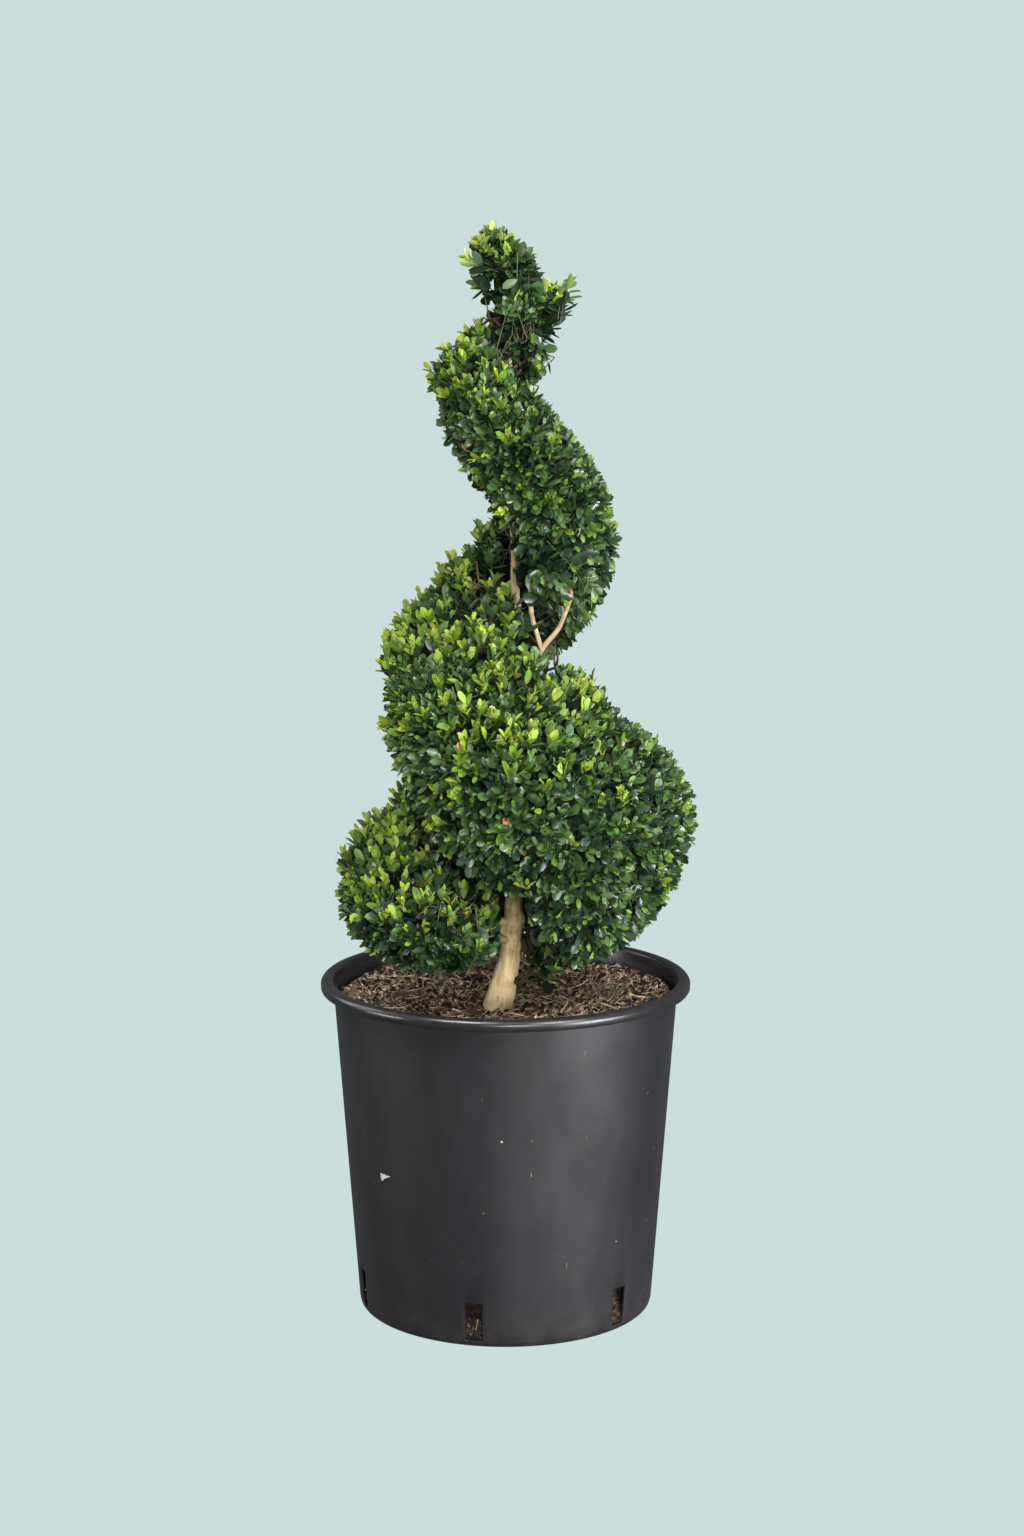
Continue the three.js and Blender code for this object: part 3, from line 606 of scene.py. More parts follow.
peat_tone = ground_tone("peat_crumbs", (0.007, 0.0045, 0.003), (0.44, 0.305, 0.2), 150, 0.95, 0.49, 0.61)
bark_tone = ground_tone("bark_crumbs", (0.025, 0.016, 0.01), (0.6, 0.41, 0.275), 130, 0.9, 0.48, 0.6)
straw_tone = ground_tone("old_straw", (0.66, 0.51, 0.3), (0.24, 0.17, 0.1), 60, 0.8)
grit_tone = ground_tone("pale_grit", (0.55, 0.52, 0.45), (0.35, 0.3, 0.22), 80, 0.85)
# The crumbs in the drain slots are painted near black: painted shade in the slots.
slot_shade_tone = ground_tone("damp_crumbs", (0.003, 0.002, 0.0015), (0.11, 0.07, 0.042), 160, 0.95, 0.54, 0.64)

whole_top = top_patch(soil_radius - 0.004)
open_top = top_patch(soil_radius - 0.03)
near_top = top_patch(soil_radius - 0.014)
slots = patch_of_compost(in_slot_foot)
crumb = lump("crumb", 0.0048, 0.75, 0.9, 1)
clod = lump("clod", 0.012, 0.75, 1.2, 5)
bark_bit = lump("bark_bit", 0.0065, 0.4, 1.0, 9)
grit_piece = lump("grit_piece", 0.004, 0.8, 0.6, 3)
slot_crumb = lump("slot_crumb", 0.006, 0.7, 1.0, 2)
long_straw = thread("straw_a", 0.042, 0.00085, 0.34, 3, 8, 4)
short_straw = thread("straw_b", 0.02, 0.00065, 0.5, 3, 5, 8)
root = thread("root", 0.016, 0.0007, 0.7, 4, 6, 6)
loose_kinds = [
    # name, ground, piece, pieces per square metre, smallest, largest, tilt, material
    ("fine_crumbs", whole_top, crumb, 62000, 0.45, 1.2, 3.1, peat_tone),
    ("clods", whole_top, clod, 5500, 0.5, 1.3, 1.0, peat_tone),
    ("bark_bits", whole_top, bark_bit, 17000, 0.4, 1.3, 0.7, bark_tone),
    ("straw_long", open_top, long_straw, 4200, 0.4, 1.25, 0.3, straw_tone),
    ("straw_short", near_top, short_straw, 6000, 0.4, 1.2, 0.5, straw_tone),
    ("grit", whole_top, grit_piece, 900, 0.5, 1.4, 3.1, grit_tone),
    ("slot_crumbs", slots, slot_crumb, 60000, 0.5, 1.2, 3.1, slot_shade_tone),
    ("slot_roots", slots, root, 1500, 0.5, 1.0, 0.5, straw_tone),
]
for seed, (name, ground, kind, density, smallest, largest, tilt, finish) in enumerate(loose_kinds):
    loose = grown(
        name,
        ground,
        scatter,
        Piece=kind,
        Density=float(density),
        Seed=seed + 3,
        Smallest=smallest,
        Largest=largest,
        Tilt=tilt,
        Material=finish,
    )
    loose.data.shade_flat()
    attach(loose, "root")

# ---- the stem and its fork ----------------------------------------------------------------------------
# One old stem, as thick as a broom handle at the foot, with a flare at the roots, scars of pruned shoots
# and pale flaking bark. A bough leaves it part way up and forks where it shows in the front groove.
stem_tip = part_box("trunk")[1].z
stem_lean = [(-6, -4, 0), (8, -4, 65), (7, 0, 128), (11, 3, 293), (10, 0, 463), (5, 2, 653), (4, 0, 781)]
stem_foot_radius, stem_tip_radius, stem_taper = 0.0105, 0.0018, 1.3
flare, flare_height = 0.0055, 0.055


def smooth_line(points, steps):
    """A round line through the points, as a row of places, with even turns at unevenly spaced points."""
    points = [Vector(p) for p in points]
    points = [2 * points[0] - points[1]] + points + [2 * points[-1] - points[-2]]
    line = []
    for before, first, last, after in zip(points, points[1:], points[2:], points[3:]):
        gap_before = max((first - before).length, 1e-6) ** 0.5
        gap = max((last - first).length, 1e-6) ** 0.5
        gap_after = max((after - last).length, 1e-6) ** 0.5
        slope_before, slope = (first - before) / gap_before, (last - first) / gap
        slope_after = (after - last) / gap_after
        pull_first = slope_before - (last - before) / (gap_before + gap) + slope
        pull_last = slope - (after - first) / (gap + gap_after) + slope_after
        pull_first, pull_last = pull_first * gap, pull_last * gap
        for step in range(steps):
            t = step / steps
            cubic = 2 * first - 2 * last + pull_first + pull_last
            square = -3 * first + 3 * last - 2 * pull_first - pull_last
            line.append(((cubic * t + square) * t + pull_first) * t + first)
    return line + [points[-2]]


stem_line = np.array(smooth_line([(x / 1000, y / 1000, soil_level + z / 1000) for x, y, z in stem_lean], 40))


def stem_at(height):
    """The stem's centre at each height, as an array of points."""
    height = np.asarray(height, float)
    right = np.interp(height, stem_line[:, 2], stem_line[:, 0])
    back = np.interp(height, stem_line[:, 2], stem_line[:, 1])
    return np.stack([right, back, height], axis=-1)


def stem_radius(height):
    """The stem tapers to its tip, and flares at its roots."""
    share = np.clip((height - soil_level) / (stem_tip - soil_level), 0, 1)
    at_foot = flare * np.exp(-(height - soil_level) / flare_height)
    return stem_tip_radius + (stem_foot_radius - stem_tip_radius) * (1 - share) ** stem_taper + at_foot


def bark_limb(name, centres, radius_at, sides, ridge, flake):
    """A limb with its bark's relief: long shallow ridges and small flakes, both in shares of its radius."""
    shape = bmesh.new()
    rings = []
    for i, centre in enumerate(centres):
        ahead, behind = centres[min(i + 1, len(centres) - 1)], centres[max(i - 1, 0)]
        along = (ahead - behind).normalized()
        right = Vector((0, 1, 0)).cross(along).normalized()
        front = along.cross(right).normalized()
        ring = []
        for side in range(sides):
            turn = 2 * math.pi * side / sides
            out = math.cos(turn) * right + math.sin(turn) * front
            spot = centre + radius_at(i, turn) * out
            long_ridges = noise.noise(Vector((2.6 * out.x, 2.6 * out.y, 30 * centre.z)))
            plates = noise.fractal(Vector((8 * out.x, 8 * out.y, 110 * centre.z)), 0.8, 2.0, 3)
            relief = ridge * long_ridges + flake * plates
            ring.append(shape.verts.new(spot + relief * radius_at(i, turn) * out))
        rings.append(ring)
    skin_tube(shape, rings)
    mesh = mesh_from(shape, name)
    mesh.shade_smooth()
    return new_object(name, mesh)


# Scars and knobs on the stem: height over the compost, turn round it in degrees, how far out, how wide.
knobs = [
    (0.088, 195, 0.005, 0.011),
    (0.098, 10, 0.004, 0.01),
    (0.035, 300, 0.002, 0.012),
    (0.2, 80, 0.003, 0.01),
    (0.29, 300, 0.003, 0.009),
    (0.36, 200, 0.0025, 0.008),
    (0.44, 310, 0.002, 0.007),
]
stem_sides, stem_rings = 56, 420
stem_heights = [(i / stem_rings) ** 1.2 * (stem_tip - soil_level) + soil_level for i in range(stem_rings + 1)]


def stem_surface(i, turn):
    """The stem's radius at a ring and turn, with three swellings at the roots and the knobs."""
    height = stem_heights[i]
    swelling = 0.13 * math.exp(-(height - soil_level) / flare_height) * math.cos(3 * turn - 0.6)
    radius = float(stem_radius(height)) * (1 + swelling)
    for over, knob_turn, out, width in knobs:
        round_by = math.remainder(turn - math.radians(knob_turn), 2 * math.pi) * radius
        off = ((height - soil_level - over) ** 2 + round_by**2) / width**2
        radius += out * math.exp(-2 * off)
    return radius


def smoothstep(value, low, high):
    """Rises gently from 0 below the low value to 1 above the high one."""
    t = np.clip((value - low) / (high - low), 0, 1)
    return t * t * (3 - 2 * t)


def foot_lean(height):
    """How far the trunk stands to the right of the spiral's axis: its foot leans out to the left."""
    under_band, in_band, above = soil_level + 0.058, soil_level + 0.133, soil_level + 0.233
    # Left of the axis at the foot, a little past it inside the band, and back on it above.
    left, across, back = 0.0038, 0.0063, 0.0025
    moved = -left + across * smoothstep(height, under_band, in_band)
    return moved - back * smoothstep(height, in_band, above)


stem_centres = [Vector(stem_at(height)) + Vector((foot_lean(height), 0, 0)) for height in stem_heights]
trunk = bark_limb("trunk_bark", stem_centres, stem_surface, stem_sides, 0.09, 0.05)

# The stub of a pruned shoot, as thick as a finger, stands out at the left.
stub_turn = math.radians(195)
stub_way = Vector((math.cos(stub_turn), math.sin(stub_turn), 0.5))
stub_foot = Vector(stem_at(soil_level + 0.091))
stub_centres = [stub_foot + stub_way * 0.0155 * i / 8 for i in range(9)]
stub = bark_limb("pruned_stub", stub_centres, lambda i, turn: 0.0068 - 0.0003 * i, 20, 0.08, 0.08)

# The bough leaves the stem inside the foliage and comes forward to its fork.
fork_leaves = soil_level + 0.313
crotch = Vector((0.038, -0.045, 0.724))
arm_tips = {"left": Vector((0.025, -0.036, 0.797)), "right": Vector((0.068, -0.05, 0.779))}
leave_at = Vector(stem_at(fork_leaves))
bough_way = Vector((crotch.x - leave_at.x, crotch.y - leave_at.y, 0)).normalized()
bough_bend = leave_at.lerp(crotch, 0.5) + bough_way * 0.007
right_elbow = crotch.lerp(arm_tips["right"], 0.5) + Vector((0.003, -0.001, -0.003))
left_elbow = crotch.lerp(arm_tips["left"], 0.5) + Vector((-0.004, -0.001, 0))
bough_line = smooth_line([leave_at, bough_bend, crotch, right_elbow, arm_tips["right"]], 14)
arm_line = smooth_line([crotch, left_elbow, arm_tips["left"]], 16)
bough_last, arm_last = len(bough_line) - 1, len(arm_line) - 1
bough = bark_limb("bough_bark", bough_line, lambda i, turn: 0.0034 - 0.0014 * i / bough_last, 24, 0.12, 0.08)
arm = bark_limb("arm_bark", arm_line, lambda i, turn: 0.0027 - 0.0008 * i / arm_last, 24, 0.12, 0.08)

clean_bark, furrow_bark = (0.6, 0.455, 0.23), (0.43, 0.31, 0.14)
bark, tree, shader, tone = cloudy_material(
    "pale_bark", 0.8, clean_bark, furrow_bark, 38, 0.42, 0.66, Specular_IOR_Level=0.3
)
place, level = place_in(tree)
grain = place_group(tree, streaks, Across=330, Along=55, Low=0.42, High=0.68).outputs["Mask"]
furrowed = mixed(tree, grain, tone, (0.66, 0.53, 0.32, 1))
# Higher up, under the foliage, the bark is painted darker: painted shade, with the younger bark's own browner
# tone.
shade_and_young_above = ranged(tree, level, soil_level + 0.25, soil_level + 0.4, 0, 0.8)
by_height = mixed(tree, shade_and_young_above, furrowed, (0.2, 0.15, 0.09, 1))
# Green algae grow between its clean foot and the lowest boughs, and their dark olive also stands in as
# painted shade under the foliage.
algae = place_group(tree, mottle, Scale=55, Low=0.42, High=0.58).outputs["Mask"]
above_foot = ranged(tree, level, soil_level + 0.05, soil_level + 0.09, 0, 0.85)
below_boughs = ranged(tree, level, soil_level + 0.22, soil_level + 0.14)
algae_and_shade_here = arithmetic(tree, "MULTIPLY", arithmetic(tree, "MULTIPLY", above_foot, below_boughs), algae)
tree.links.new(mixed(tree, algae_and_shade_here, by_height, (0.22, 0.19, 0.06, 1)), shader.inputs["Base Color"])
fine_grain = place_group(tree, streaks, Across=420, Along=90, Low=0.35, High=0.7).outputs["Mask"]
bumped(tree, shader, fine_grain, 0.6, 0.0006)
young_bark = ground_tone("young_bark", (0.38, 0.285, 0.15), (0.27, 0.195, 0.105), 75, 0.8)
limbs = [
    (trunk, "trunk", bark),
    (stub, "trunk", bark),
    (bough, "fork_bough", young_bark),
    (arm, "fork_arm", young_bark),
]
for limb, node, finish in limbs:
    limb.data.materials.append(finish)
    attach(limb, "root")
    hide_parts(node)

# ---- the clipped band ---------------------------------------------------------------------------------
# The gardener clips the shrub to one rule: a single band that screws up round the stem, left-handed, and
# closes up towards the tip. Half turns are counted up the screw: 0 is at the left, 1 at the right past the
# back, 2 at the left again. A share from 0 to 1 runs up the band's outer face.
spiral_top, spiral_rise, half_turns, closing = 1.168, 1.06, 8, 1.91
band_bottom, band_start, start_lift, band_end = 0.378, -0.55, 0.05, 5.85
cone_radius_low, cone_widest, cone_apex, slenderness = 0.203, 0.535, 1.25, 0.71
low_groove, high_groove = 0.58, 0.48
sag_depth, sag_middle, sag_spread = 0.062, 1.09, 0.35
hollow_depth, hollow_middle, hollow_spread = 0.052, 1.8, 0.45
groove_gap, open_at_fork, open_above = 0.004, 0.16, 0.05
knob_floor, knob_tilt, knob_lean = 1.112, 0.02, 0.42
knob_middle, knob_half_size = np.array([0.002, 0.0, 1.122]), np.array([0.031, 0.029, 0.038])
# How deep the leaves' mean face lies in the clipped space: everywhere, and further where the plant is
# slacker: a half turn, how far to either side, from which share to which, and how much further.
face_depth = 0.008
slack_places = [
    (2.05, 0.3, -1.0, 2.0, 0.01),
    (2.0, 0.3, 0.45, 0.74, 0.015),
    (2.0, 0.3, 0.82, 2.0, 0.005),
    (1.0, 0.3, 0.76, 2.0, 0.023),
    (1.0, 0.4, 0.22, 0.62, -0.006),
    (1.0, 0.35, -1.0, 0.1, 0.009),
    (3.85, 0.35, -1.0, 0.16, 0.018),
    (4.1, 0.4, 0.8, 2.0, 0.009),
    (3.0, 0.35, 0.4, 2.0, 0.012),
    (3.0, 0.35, -1.0, 0.25, 0.005),
    (0.0, 0.25, 0.5, 2.0, 0.012),
    (0.0, 0.3, -1.0, 0.34, -0.014),
]
free_turn = band_end + 1  # stands for the half turn of what grows outside the band
mass_ends = [band_start, 0.05, 0.6, 1.1, 1.65, 2.2, 2.8, 3.45, 4.1, 4.8, band_end]


def angle_of(turns):
    """The angle round the stem at a count of half turns."""
    return -math.pi * (1 + turns)


def groove_height(turns):
    """The height of the groove that parts the band's turns. It sags where it first passes the right."""
    left = np.clip(1 - turns / half_turns, 0, 2)
    sag = sag_depth * np.exp(-(((turns - sag_middle) / sag_spread) ** 2))
    return spiral_top - spiral_rise * left**closing - sag


def groove_share(turns):
    """How far out the bottom of the groove lies, as a share of the cone's radius."""
    return high_groove + (low_groove - high_groove) * smoothstep(3.2 - turns, 0, 1.2)


def cone_radius(height):
    """The radius of the cone that holds the whole spiral."""
    share = np.clip((height - cone_widest) / (cone_apex - cone_widest), 0, 1)
    return cone_radius_low * (1 - share) ** slenderness


def band_limits(turns):
    """Lowest and highest height of the band at a half turn.

    Its top is hollow at the front left, and the groove over it stands open for the fork.
    """
    lift = start_lift * smoothstep(-turns, 0.3, 0.6)
    hollow = hollow_depth * np.exp(-(((turns - hollow_middle) / hollow_spread) ** 2))
    low = np.maximum(groove_height(turns), band_bottom + lift)
    under_knob = knob_floor + knob_tilt * np.cos(angle_of(turns))
    high = np.minimum(groove_height(turns + 2) - hollow, under_knob)
    gap = np.minimum(groove_gap, 0.06 * (high - low))
    open_share = open_at_fork + (open_above - open_at_fork) * smoothstep(turns, 2.2, 3)
    return low + gap, high - gap - open_share * (high - low) * smoothstep(turns, 0.9, 1.5)


def clipped_radius(turns, share):
    """How far the clipped face stands from the stem's centre."""
    low, high = band_limits(turns)
    bulge = np.minimum(1.25 + 0.18 * (turns - 1), 2.9) - 0.2 * np.cos(angle_of(turns))
    along = np.clip(share, 0, 1) ** bulge
    fullness = 0.48 + 0.025 * turns + np.where(along > 0.5, 0.3, 0)
    lobe = np.abs(np.sin(math.pi * along)) ** fullness
    opening = np.clip((turns - band_start) / 0.5, 0, 1)
    rounded = 0.5 + 0.5 * np.sqrt(1 - (1 - opening) ** 2)
    groove = groove_share(turns) * (1 - share) + groove_share(turns + 2) * share
    return cone_radius(low + share * (high - low)) * (groove + (1 - groove) * lobe) * rounded


def band_point(turns, share, radius):
    """The place in the band at a half turn, a share of its height and a distance from the stem."""
    low, high = band_limits(turns)
    centre = stem_at(low + share * (high - low))
    angle = angle_of(turns)
    reach = np.stack([radius * np.cos(angle), radius * np.sin(angle), np.zeros_like(radius)], axis=-1)
    return centre + reach


def skin_point(turns, share):
    """The place on the clipped face."""
    return band_point(turns, share, clipped_radius(turns, share))


def unit(vectors):
    """The vectors at length one."""
    return vectors / np.maximum(np.linalg.norm(vectors, axis=-1, keepdims=True), 1e-9)


def skin_normal(turns, share):
    """The way straight out of the clipped face."""
    up = skin_point(turns, np.minimum(share + 0.03, 0.99)) - skin_point(turns, np.maximum(share - 0.03, 0.01))
    along = skin_point(turns + 0.02, share) - skin_point(turns - 0.02, share)
    return unit(np.cross(up, along))


def slackness(turns, share):
    """How deep the leaves' face lies at each half turn and share."""
    depth = np.full(len(turns), face_depth)
    for middle, spread, low, high, further in slack_places:
        near = np.exp(-(((turns - middle) / spread) ** 2))
        above_low = smoothstep(share, low - 0.12, low + 0.12)
        below_high = 1 - smoothstep(share, high - 0.12, high + 0.12)
        depth += further * near * above_low * below_high
    return np.where(turns < band_end, depth, 0)


def sits_in_band(points, over):
    """Whether each point lies in the band's own space, or no further than a distance out of it."""
    centre = stem_at(points[:, 2])
    off = points[:, :2] - centre[:, :2]
    turns = -np.arctan2(off[:, 1], off[:, 0]) / math.pi - 1
    for _ in range(2):
        turns = np.where(turns < band_start, turns + 2, turns)
    for _ in range(4):
        higher = (turns + 2 < band_end) & (groove_height(turns + 2) < points[:, 2] + 0.5 * over)
        turns = np.where(higher, turns + 2, turns)
    low, high = band_limits(turns)
    share = (points[:, 2] - low) / (high - low)
    radius = np.linalg.norm(off, axis=1)
    above_and_below = 0.007
    near = (points[:, 2] > low - above_and_below) & (points[:, 2] < high + above_and_below)
    return near & (radius < clipped_radius(turns, np.clip(share, 0, 1)) + over) & (turns < band_end + 0.05)


def sample_skin(spacing, chance):
    """Places spread evenly over the band: point, way out, half turn and share of each."""
    rows = []
    shares = np.linspace(0, 1, 41)
    turns = band_start + 0.02
    while turns < band_end - 0.01:
        here = np.full(len(shares), turns)
        radii = clipped_radius(here, shares)
        face = skin_point(here, shares)
        lengths = np.concatenate([[0], np.cumsum(np.linalg.norm(np.diff(face, axis=0), axis=1))])
        count = max(2, round(lengths[-1] / spacing))
        at = (np.arange(count) + chance.random(count)) / count * lengths[-1]
        share = np.interp(at, lengths, shares)
        share = share[chance.random(count) < np.interp(share, shares, radii) / radii.max()]
        around = turns + chance.uniform(-0.5, 0.5, len(share)) * spacing / (math.pi * radii.max())
        rows.append(np.column_stack([skin_point(around, share), skin_normal(around, share), around, share]))
        # The level faces above and below, in the grooves, run in from the clipped face to the stem.
        for side_share, way in ((0.02, -1.0), (0.98, 1.0)):
            edge = float(clipped_radius(np.array(turns), np.array(side_share)))
            inner = 0.022
            count = int((edge - inner) / spacing)
            if count < 1:
                continue
            radius = inner + (np.arange(count) + chance.random(count)) / count * (edge - inner)
            radius = radius[chance.random(count) < radius / radii.max()]
            around = np.full(len(radius), turns)
            share = np.full(len(radius), side_share)
            up = np.tile([0.0, 0.0, way], (len(radius), 1))
            rows.append(np.column_stack([band_point(around, share, radius), up, around, share]))
        turns += spacing / (math.pi * radii.max())
    return np.concatenate(rows)


def sample_knob(spacing):
    """Places spread evenly over the knob at the top, a loose upright clump that leans to the left."""
    mean_radius = 0.036
    count = round(4 * math.pi * mean_radius**2 / spacing**2)
    i = np.arange(count) + 0.5
    rise = 1 - 2 * i / count
    turn = math.pi * (1 + 5**0.5) * i
    out = np.stack([np.sqrt(1 - rise**2) * np.cos(turn), np.sqrt(1 - rise**2) * np.sin(turn), rise], axis=-1)
    points = knob_middle + out * knob_half_size
    points[:, 0] -= knob_lean * (points[:, 2] - knob_middle[2])
    return np.column_stack([points, out, np.full(count, free_turn), np.full(count, 0.6)])


def sample_clump(count, chance, turns, radii, heights, slope, way):
    """Places on a loose clump: between two half turns, radii and heights, falling outwards by a slope."""
    angle = angle_of(chance.uniform(*turns, count))
    radius = chance.uniform(*radii, count)
    height = chance.uniform(*heights, count) - slope * (radius - radii[0])
    out = np.stack([np.cos(angle), np.sin(angle), np.zeros(count)], axis=-1)
    points = stem_at(height) + out * radius[:, None]
    normals = unit(out * way[0] + np.array([0, 0, way[1]]))
    return np.column_stack([points, normals, np.full(count, free_turn), np.full(count, 0.5)])


def trimmed(samples):
    """Leaves out the places beside the neck, which is bare on its left."""
    neck_starts, bare_left = 5.35, -0.004
    beside_neck = (samples[:, 6] > neck_starts) & (samples[:, 6] < band_end) & (samples[:, 0] < bare_left)
    return samples[~beside_neck]


# ---- boughs and twigs ---------------------------------------------------------------------------------
# Inside each mass the wood branches three times by the same rule. A short stem leaves the trunk, boughs
# spread from the trunk to halfway out, branchlets to just under the leaves, and twigs carry the year's
# shoots out to the clipped face. Branchlets and twigs join the nearest piece of the coarser kind.
chance = np.random.default_rng(40)
sprig_turn = math.radians(-34)  # the low sprigs stand out of the trunk's foot to the right
bare_half_width, bare_top = 0.0145, 0.476  # the foot of the trunk shows this wide, and up to here


def inward(samples, part, most):
    """Places under the skin: drawn in towards the stem by a part of the radius, or at most a distance."""
    centre = stem_at(samples[:, 2])
    off = samples[:, :3] - centre
    radius = np.linalg.norm(off, axis=1)
    depth = np.minimum(part * radius, most)
    return centre + off * ((radius - depth) / radius)[:, None]


def nearest(points, others):
    """For each point, the place of the nearest of the others."""
    tree = kdtree.KDTree(len(others))
    for i, other in enumerate(others):
        tree.insert(other, i)
    tree.balance()
    return others[[tree.find(point)[1] for point in points]]


def before_trunk(points):
    """Whether each point hangs before the bare foot of the trunk, which the gardener keeps clear."""
    spots = points.reshape(-1, 3)
    across = np.abs(spots[:, 0] - stem_at(spots[:, 2])[:, 0])
    off_trunk = np.linalg.norm(spots - stem_at(spots[:, 2]), axis=1) > stem_radius(spots[:, 2]) - 0.003
    before = (across < bare_half_width) & (spots[:, 1] < 0.002) & (spots[:, 2] < bare_top) & off_trunk
    return before.reshape(points.shape[:-1])


def bent_lines(starts, ends, ways, steps):
    """Lines that leave their starts along the ways and bend to their ends: an array lines x points x 3."""
    reach = np.linalg.norm(ends - starts, axis=1, keepdims=True)
    middle = starts + ways * 0.5 * reach
    t = np.linspace(0, 1, steps + 1)[None, :, None]
    return (1 - t) ** 2 * starts[:, None] + 2 * t * (1 - t) * middle[:, None] + t**2 * ends[:, None]


def path_mesh(name, lines, radius_first, radius_last):
    """Joins lines into one mesh of edges, with the limb's radius kept at each point."""
    count, steps = lines.shape[:2]
    first = np.arange(count)[:, None] * steps + np.arange(steps - 1)[None, :]
    edges = np.stack([first, first + 1], axis=-1).reshape(-1, 2)
    mesh = bpy.data.meshes.new(name)
    mesh.from_pydata(lines.reshape(-1, 3).tolist(), edges.tolist(), [])
    radius = mesh.attributes.new("radius_here", "FLOAT", "POINT")
    t = np.linspace(0, 1, steps)[None, :]
    values = np.reshape(radius_first, (-1, 1)) * (1 - t) + np.reshape(radius_last, (-1, 1)) * t
    radius.data.foreach_set("value", np.broadcast_to(values, (count, steps)).astype(np.float32).ravel())
    return mesh


limbs_on_paths, entry, leave = new_group(
    "limbs_on_paths",
    "GeometryNodeTree",
    {
        "Paths": ("NodeSocketGeometry", None),
        "Sides": ("NodeSocketInt", 5),
        "Material": ("NodeSocketMaterial", None),
    },
    {"Limbs": "NodeSocketGeometry"},
)
as_curves = add_node(limbs_on_paths, "GeometryNodeMeshToCurve", {"Mesh": entry.outputs["Paths"]})
thickness = add_node(limbs_on_paths, "GeometryNodeInputNamedAttribute", {"Name": "radius_here"})
round_section = add_node(
    limbs_on_paths,
    "GeometryNodeCurvePrimitiveCircle",
    {"Resolution": entry.outputs["Sides"], "Radius": 1.0},
)
limb_skin = add_node(
    limbs_on_paths,
    "GeometryNodeCurveToMesh",
    {
        "Curve": as_curves.outputs["Curve"],
        "Profile Curve": round_section.outputs["Curve"],
        "Scale": thickness.outputs["Attribute"],
        "Fill Caps": True,
    },
)
finish_group(limbs_on_paths, limb_skin.outputs["Mesh"], entry.outputs["Material"], leave.inputs["Limbs"])

# The short stem of each mass, and two that go on from the fork's tips.
middles = np.array([(a + b) / 2 for a, b in zip(mass_ends, mass_ends[1:])])
heart_share = np.full(len(middles), 0.52)
hearts = band_point(middles, heart_share, 0.55 * clipped_radius(middles, heart_share))
off_trunk = np.linalg.norm(hearts - stem_at(hearts[:, 2]), axis=1)
stem_starts = stem_at(hearts[:, 2] - 0.4 * off_trunk)
forked_mass = 6
fork_tips = np.array([arm_tips["left"], arm_tips["right"]])
mass_stems = bent_lines(
    np.concatenate([stem_starts, fork_tips]),
    np.concatenate([hearts, np.repeat(hearts[forked_mass : forked_mass + 1], 2, axis=0)]),
    unit(np.concatenate([hearts - stem_starts, hearts[forked_mass] - fork_tips])),
    6,
)
stem_thickness = np.concatenate([0.4 * stem_radius(stem_starts[:, 2]) + 0.0004, [0.0022, 0.0022]])

# Boughs, half way out.
bough_places = trimmed(sample_skin(0.078, chance))
bough_ends = inward(bough_places, 0.6, 0.11)
bough_out = np.linalg.norm(bough_ends - stem_at(bough_ends[:, 2]), axis=1)
low, high = band_limits(bough_places[:, 6])
bough_starts = stem_at(np.clip(bough_ends[:, 2] - 0.45 * bough_out, low + 0.012, high - 0.012))
bough_way = unit(bough_ends - bough_starts + [0, 0, 0.01])
clear = ~before_trunk(bent_lines(bough_starts, bough_ends, bough_way, 20)).any(axis=1)
boughs = bent_lines(bough_starts, bough_ends, bough_way, 5)[clear]
coarse = np.concatenate([boughs[:, 2:].reshape(-1, 3), mass_stems[:, 3:].reshape(-1, 3)])

# Branchlets, to just under the leaves.
branchlet_places = trimmed(sample_skin(0.033, chance))
branchlet_ends = inward(branchlet_places, 0.5, 0.066)
branchlet_starts = nearest(branchlet_ends, coarse)
branchlet_way = unit(branchlet_ends - branchlet_starts + 0.004 * chance.normal(size=branchlet_ends.shape))
clear = ~before_trunk(bent_lines(branchlet_starts, branchlet_ends, branchlet_way, 20)).any(axis=1)
branchlets = bent_lines(branchlet_starts, branchlet_ends, branchlet_way, 4)[clear]

# The knob's branchlets spread from the stem's tip, and those of the low sprigs from the foot of the trunk.
knob_heart = np.array([0.003, 0, 1.118])
knob_ends = sample_knob(0.021)[:, :3] * 0.6 + knob_heart * 0.4
knob_starts = np.repeat(stem_at([stem_tip - 0.004]), len(knob_ends), axis=0)
sprig_foot = stem_at([soil_level + 0.025])
sprig_way = np.array([math.cos(sprig_turn), math.sin(sprig_turn), 0.0])
sprig_reach = np.linspace(0.035, 0.062, 6)[:, None]
sprig_spread = np.array([-0.12, 0.35, 0.0, 0.6, -0.05, 0.15])[:, None]
sprig_side = np.array([-sprig_way[1], sprig_way[0], 0])
sprig_rise = np.array([0.012, 0.02, 0.03, 0.008, 0.026, 0.016])
sprig_ends = sprig_foot + sprig_reach * (sprig_way + sprig_spread * sprig_side)
sprig_ends[:, 2] += sprig_rise
extra_ends = np.concatenate([knob_ends, sprig_ends])
extra_starts = np.concatenate([knob_starts, np.repeat(sprig_foot, len(sprig_ends), axis=0)])
extra = bent_lines(extra_starts, extra_ends, unit(extra_ends - extra_starts + [0, 0, 0.012]), 4)
branchlets = np.concatenate([branchlets, extra])
fine = branchlets[:, 2:].reshape(-1, 3)
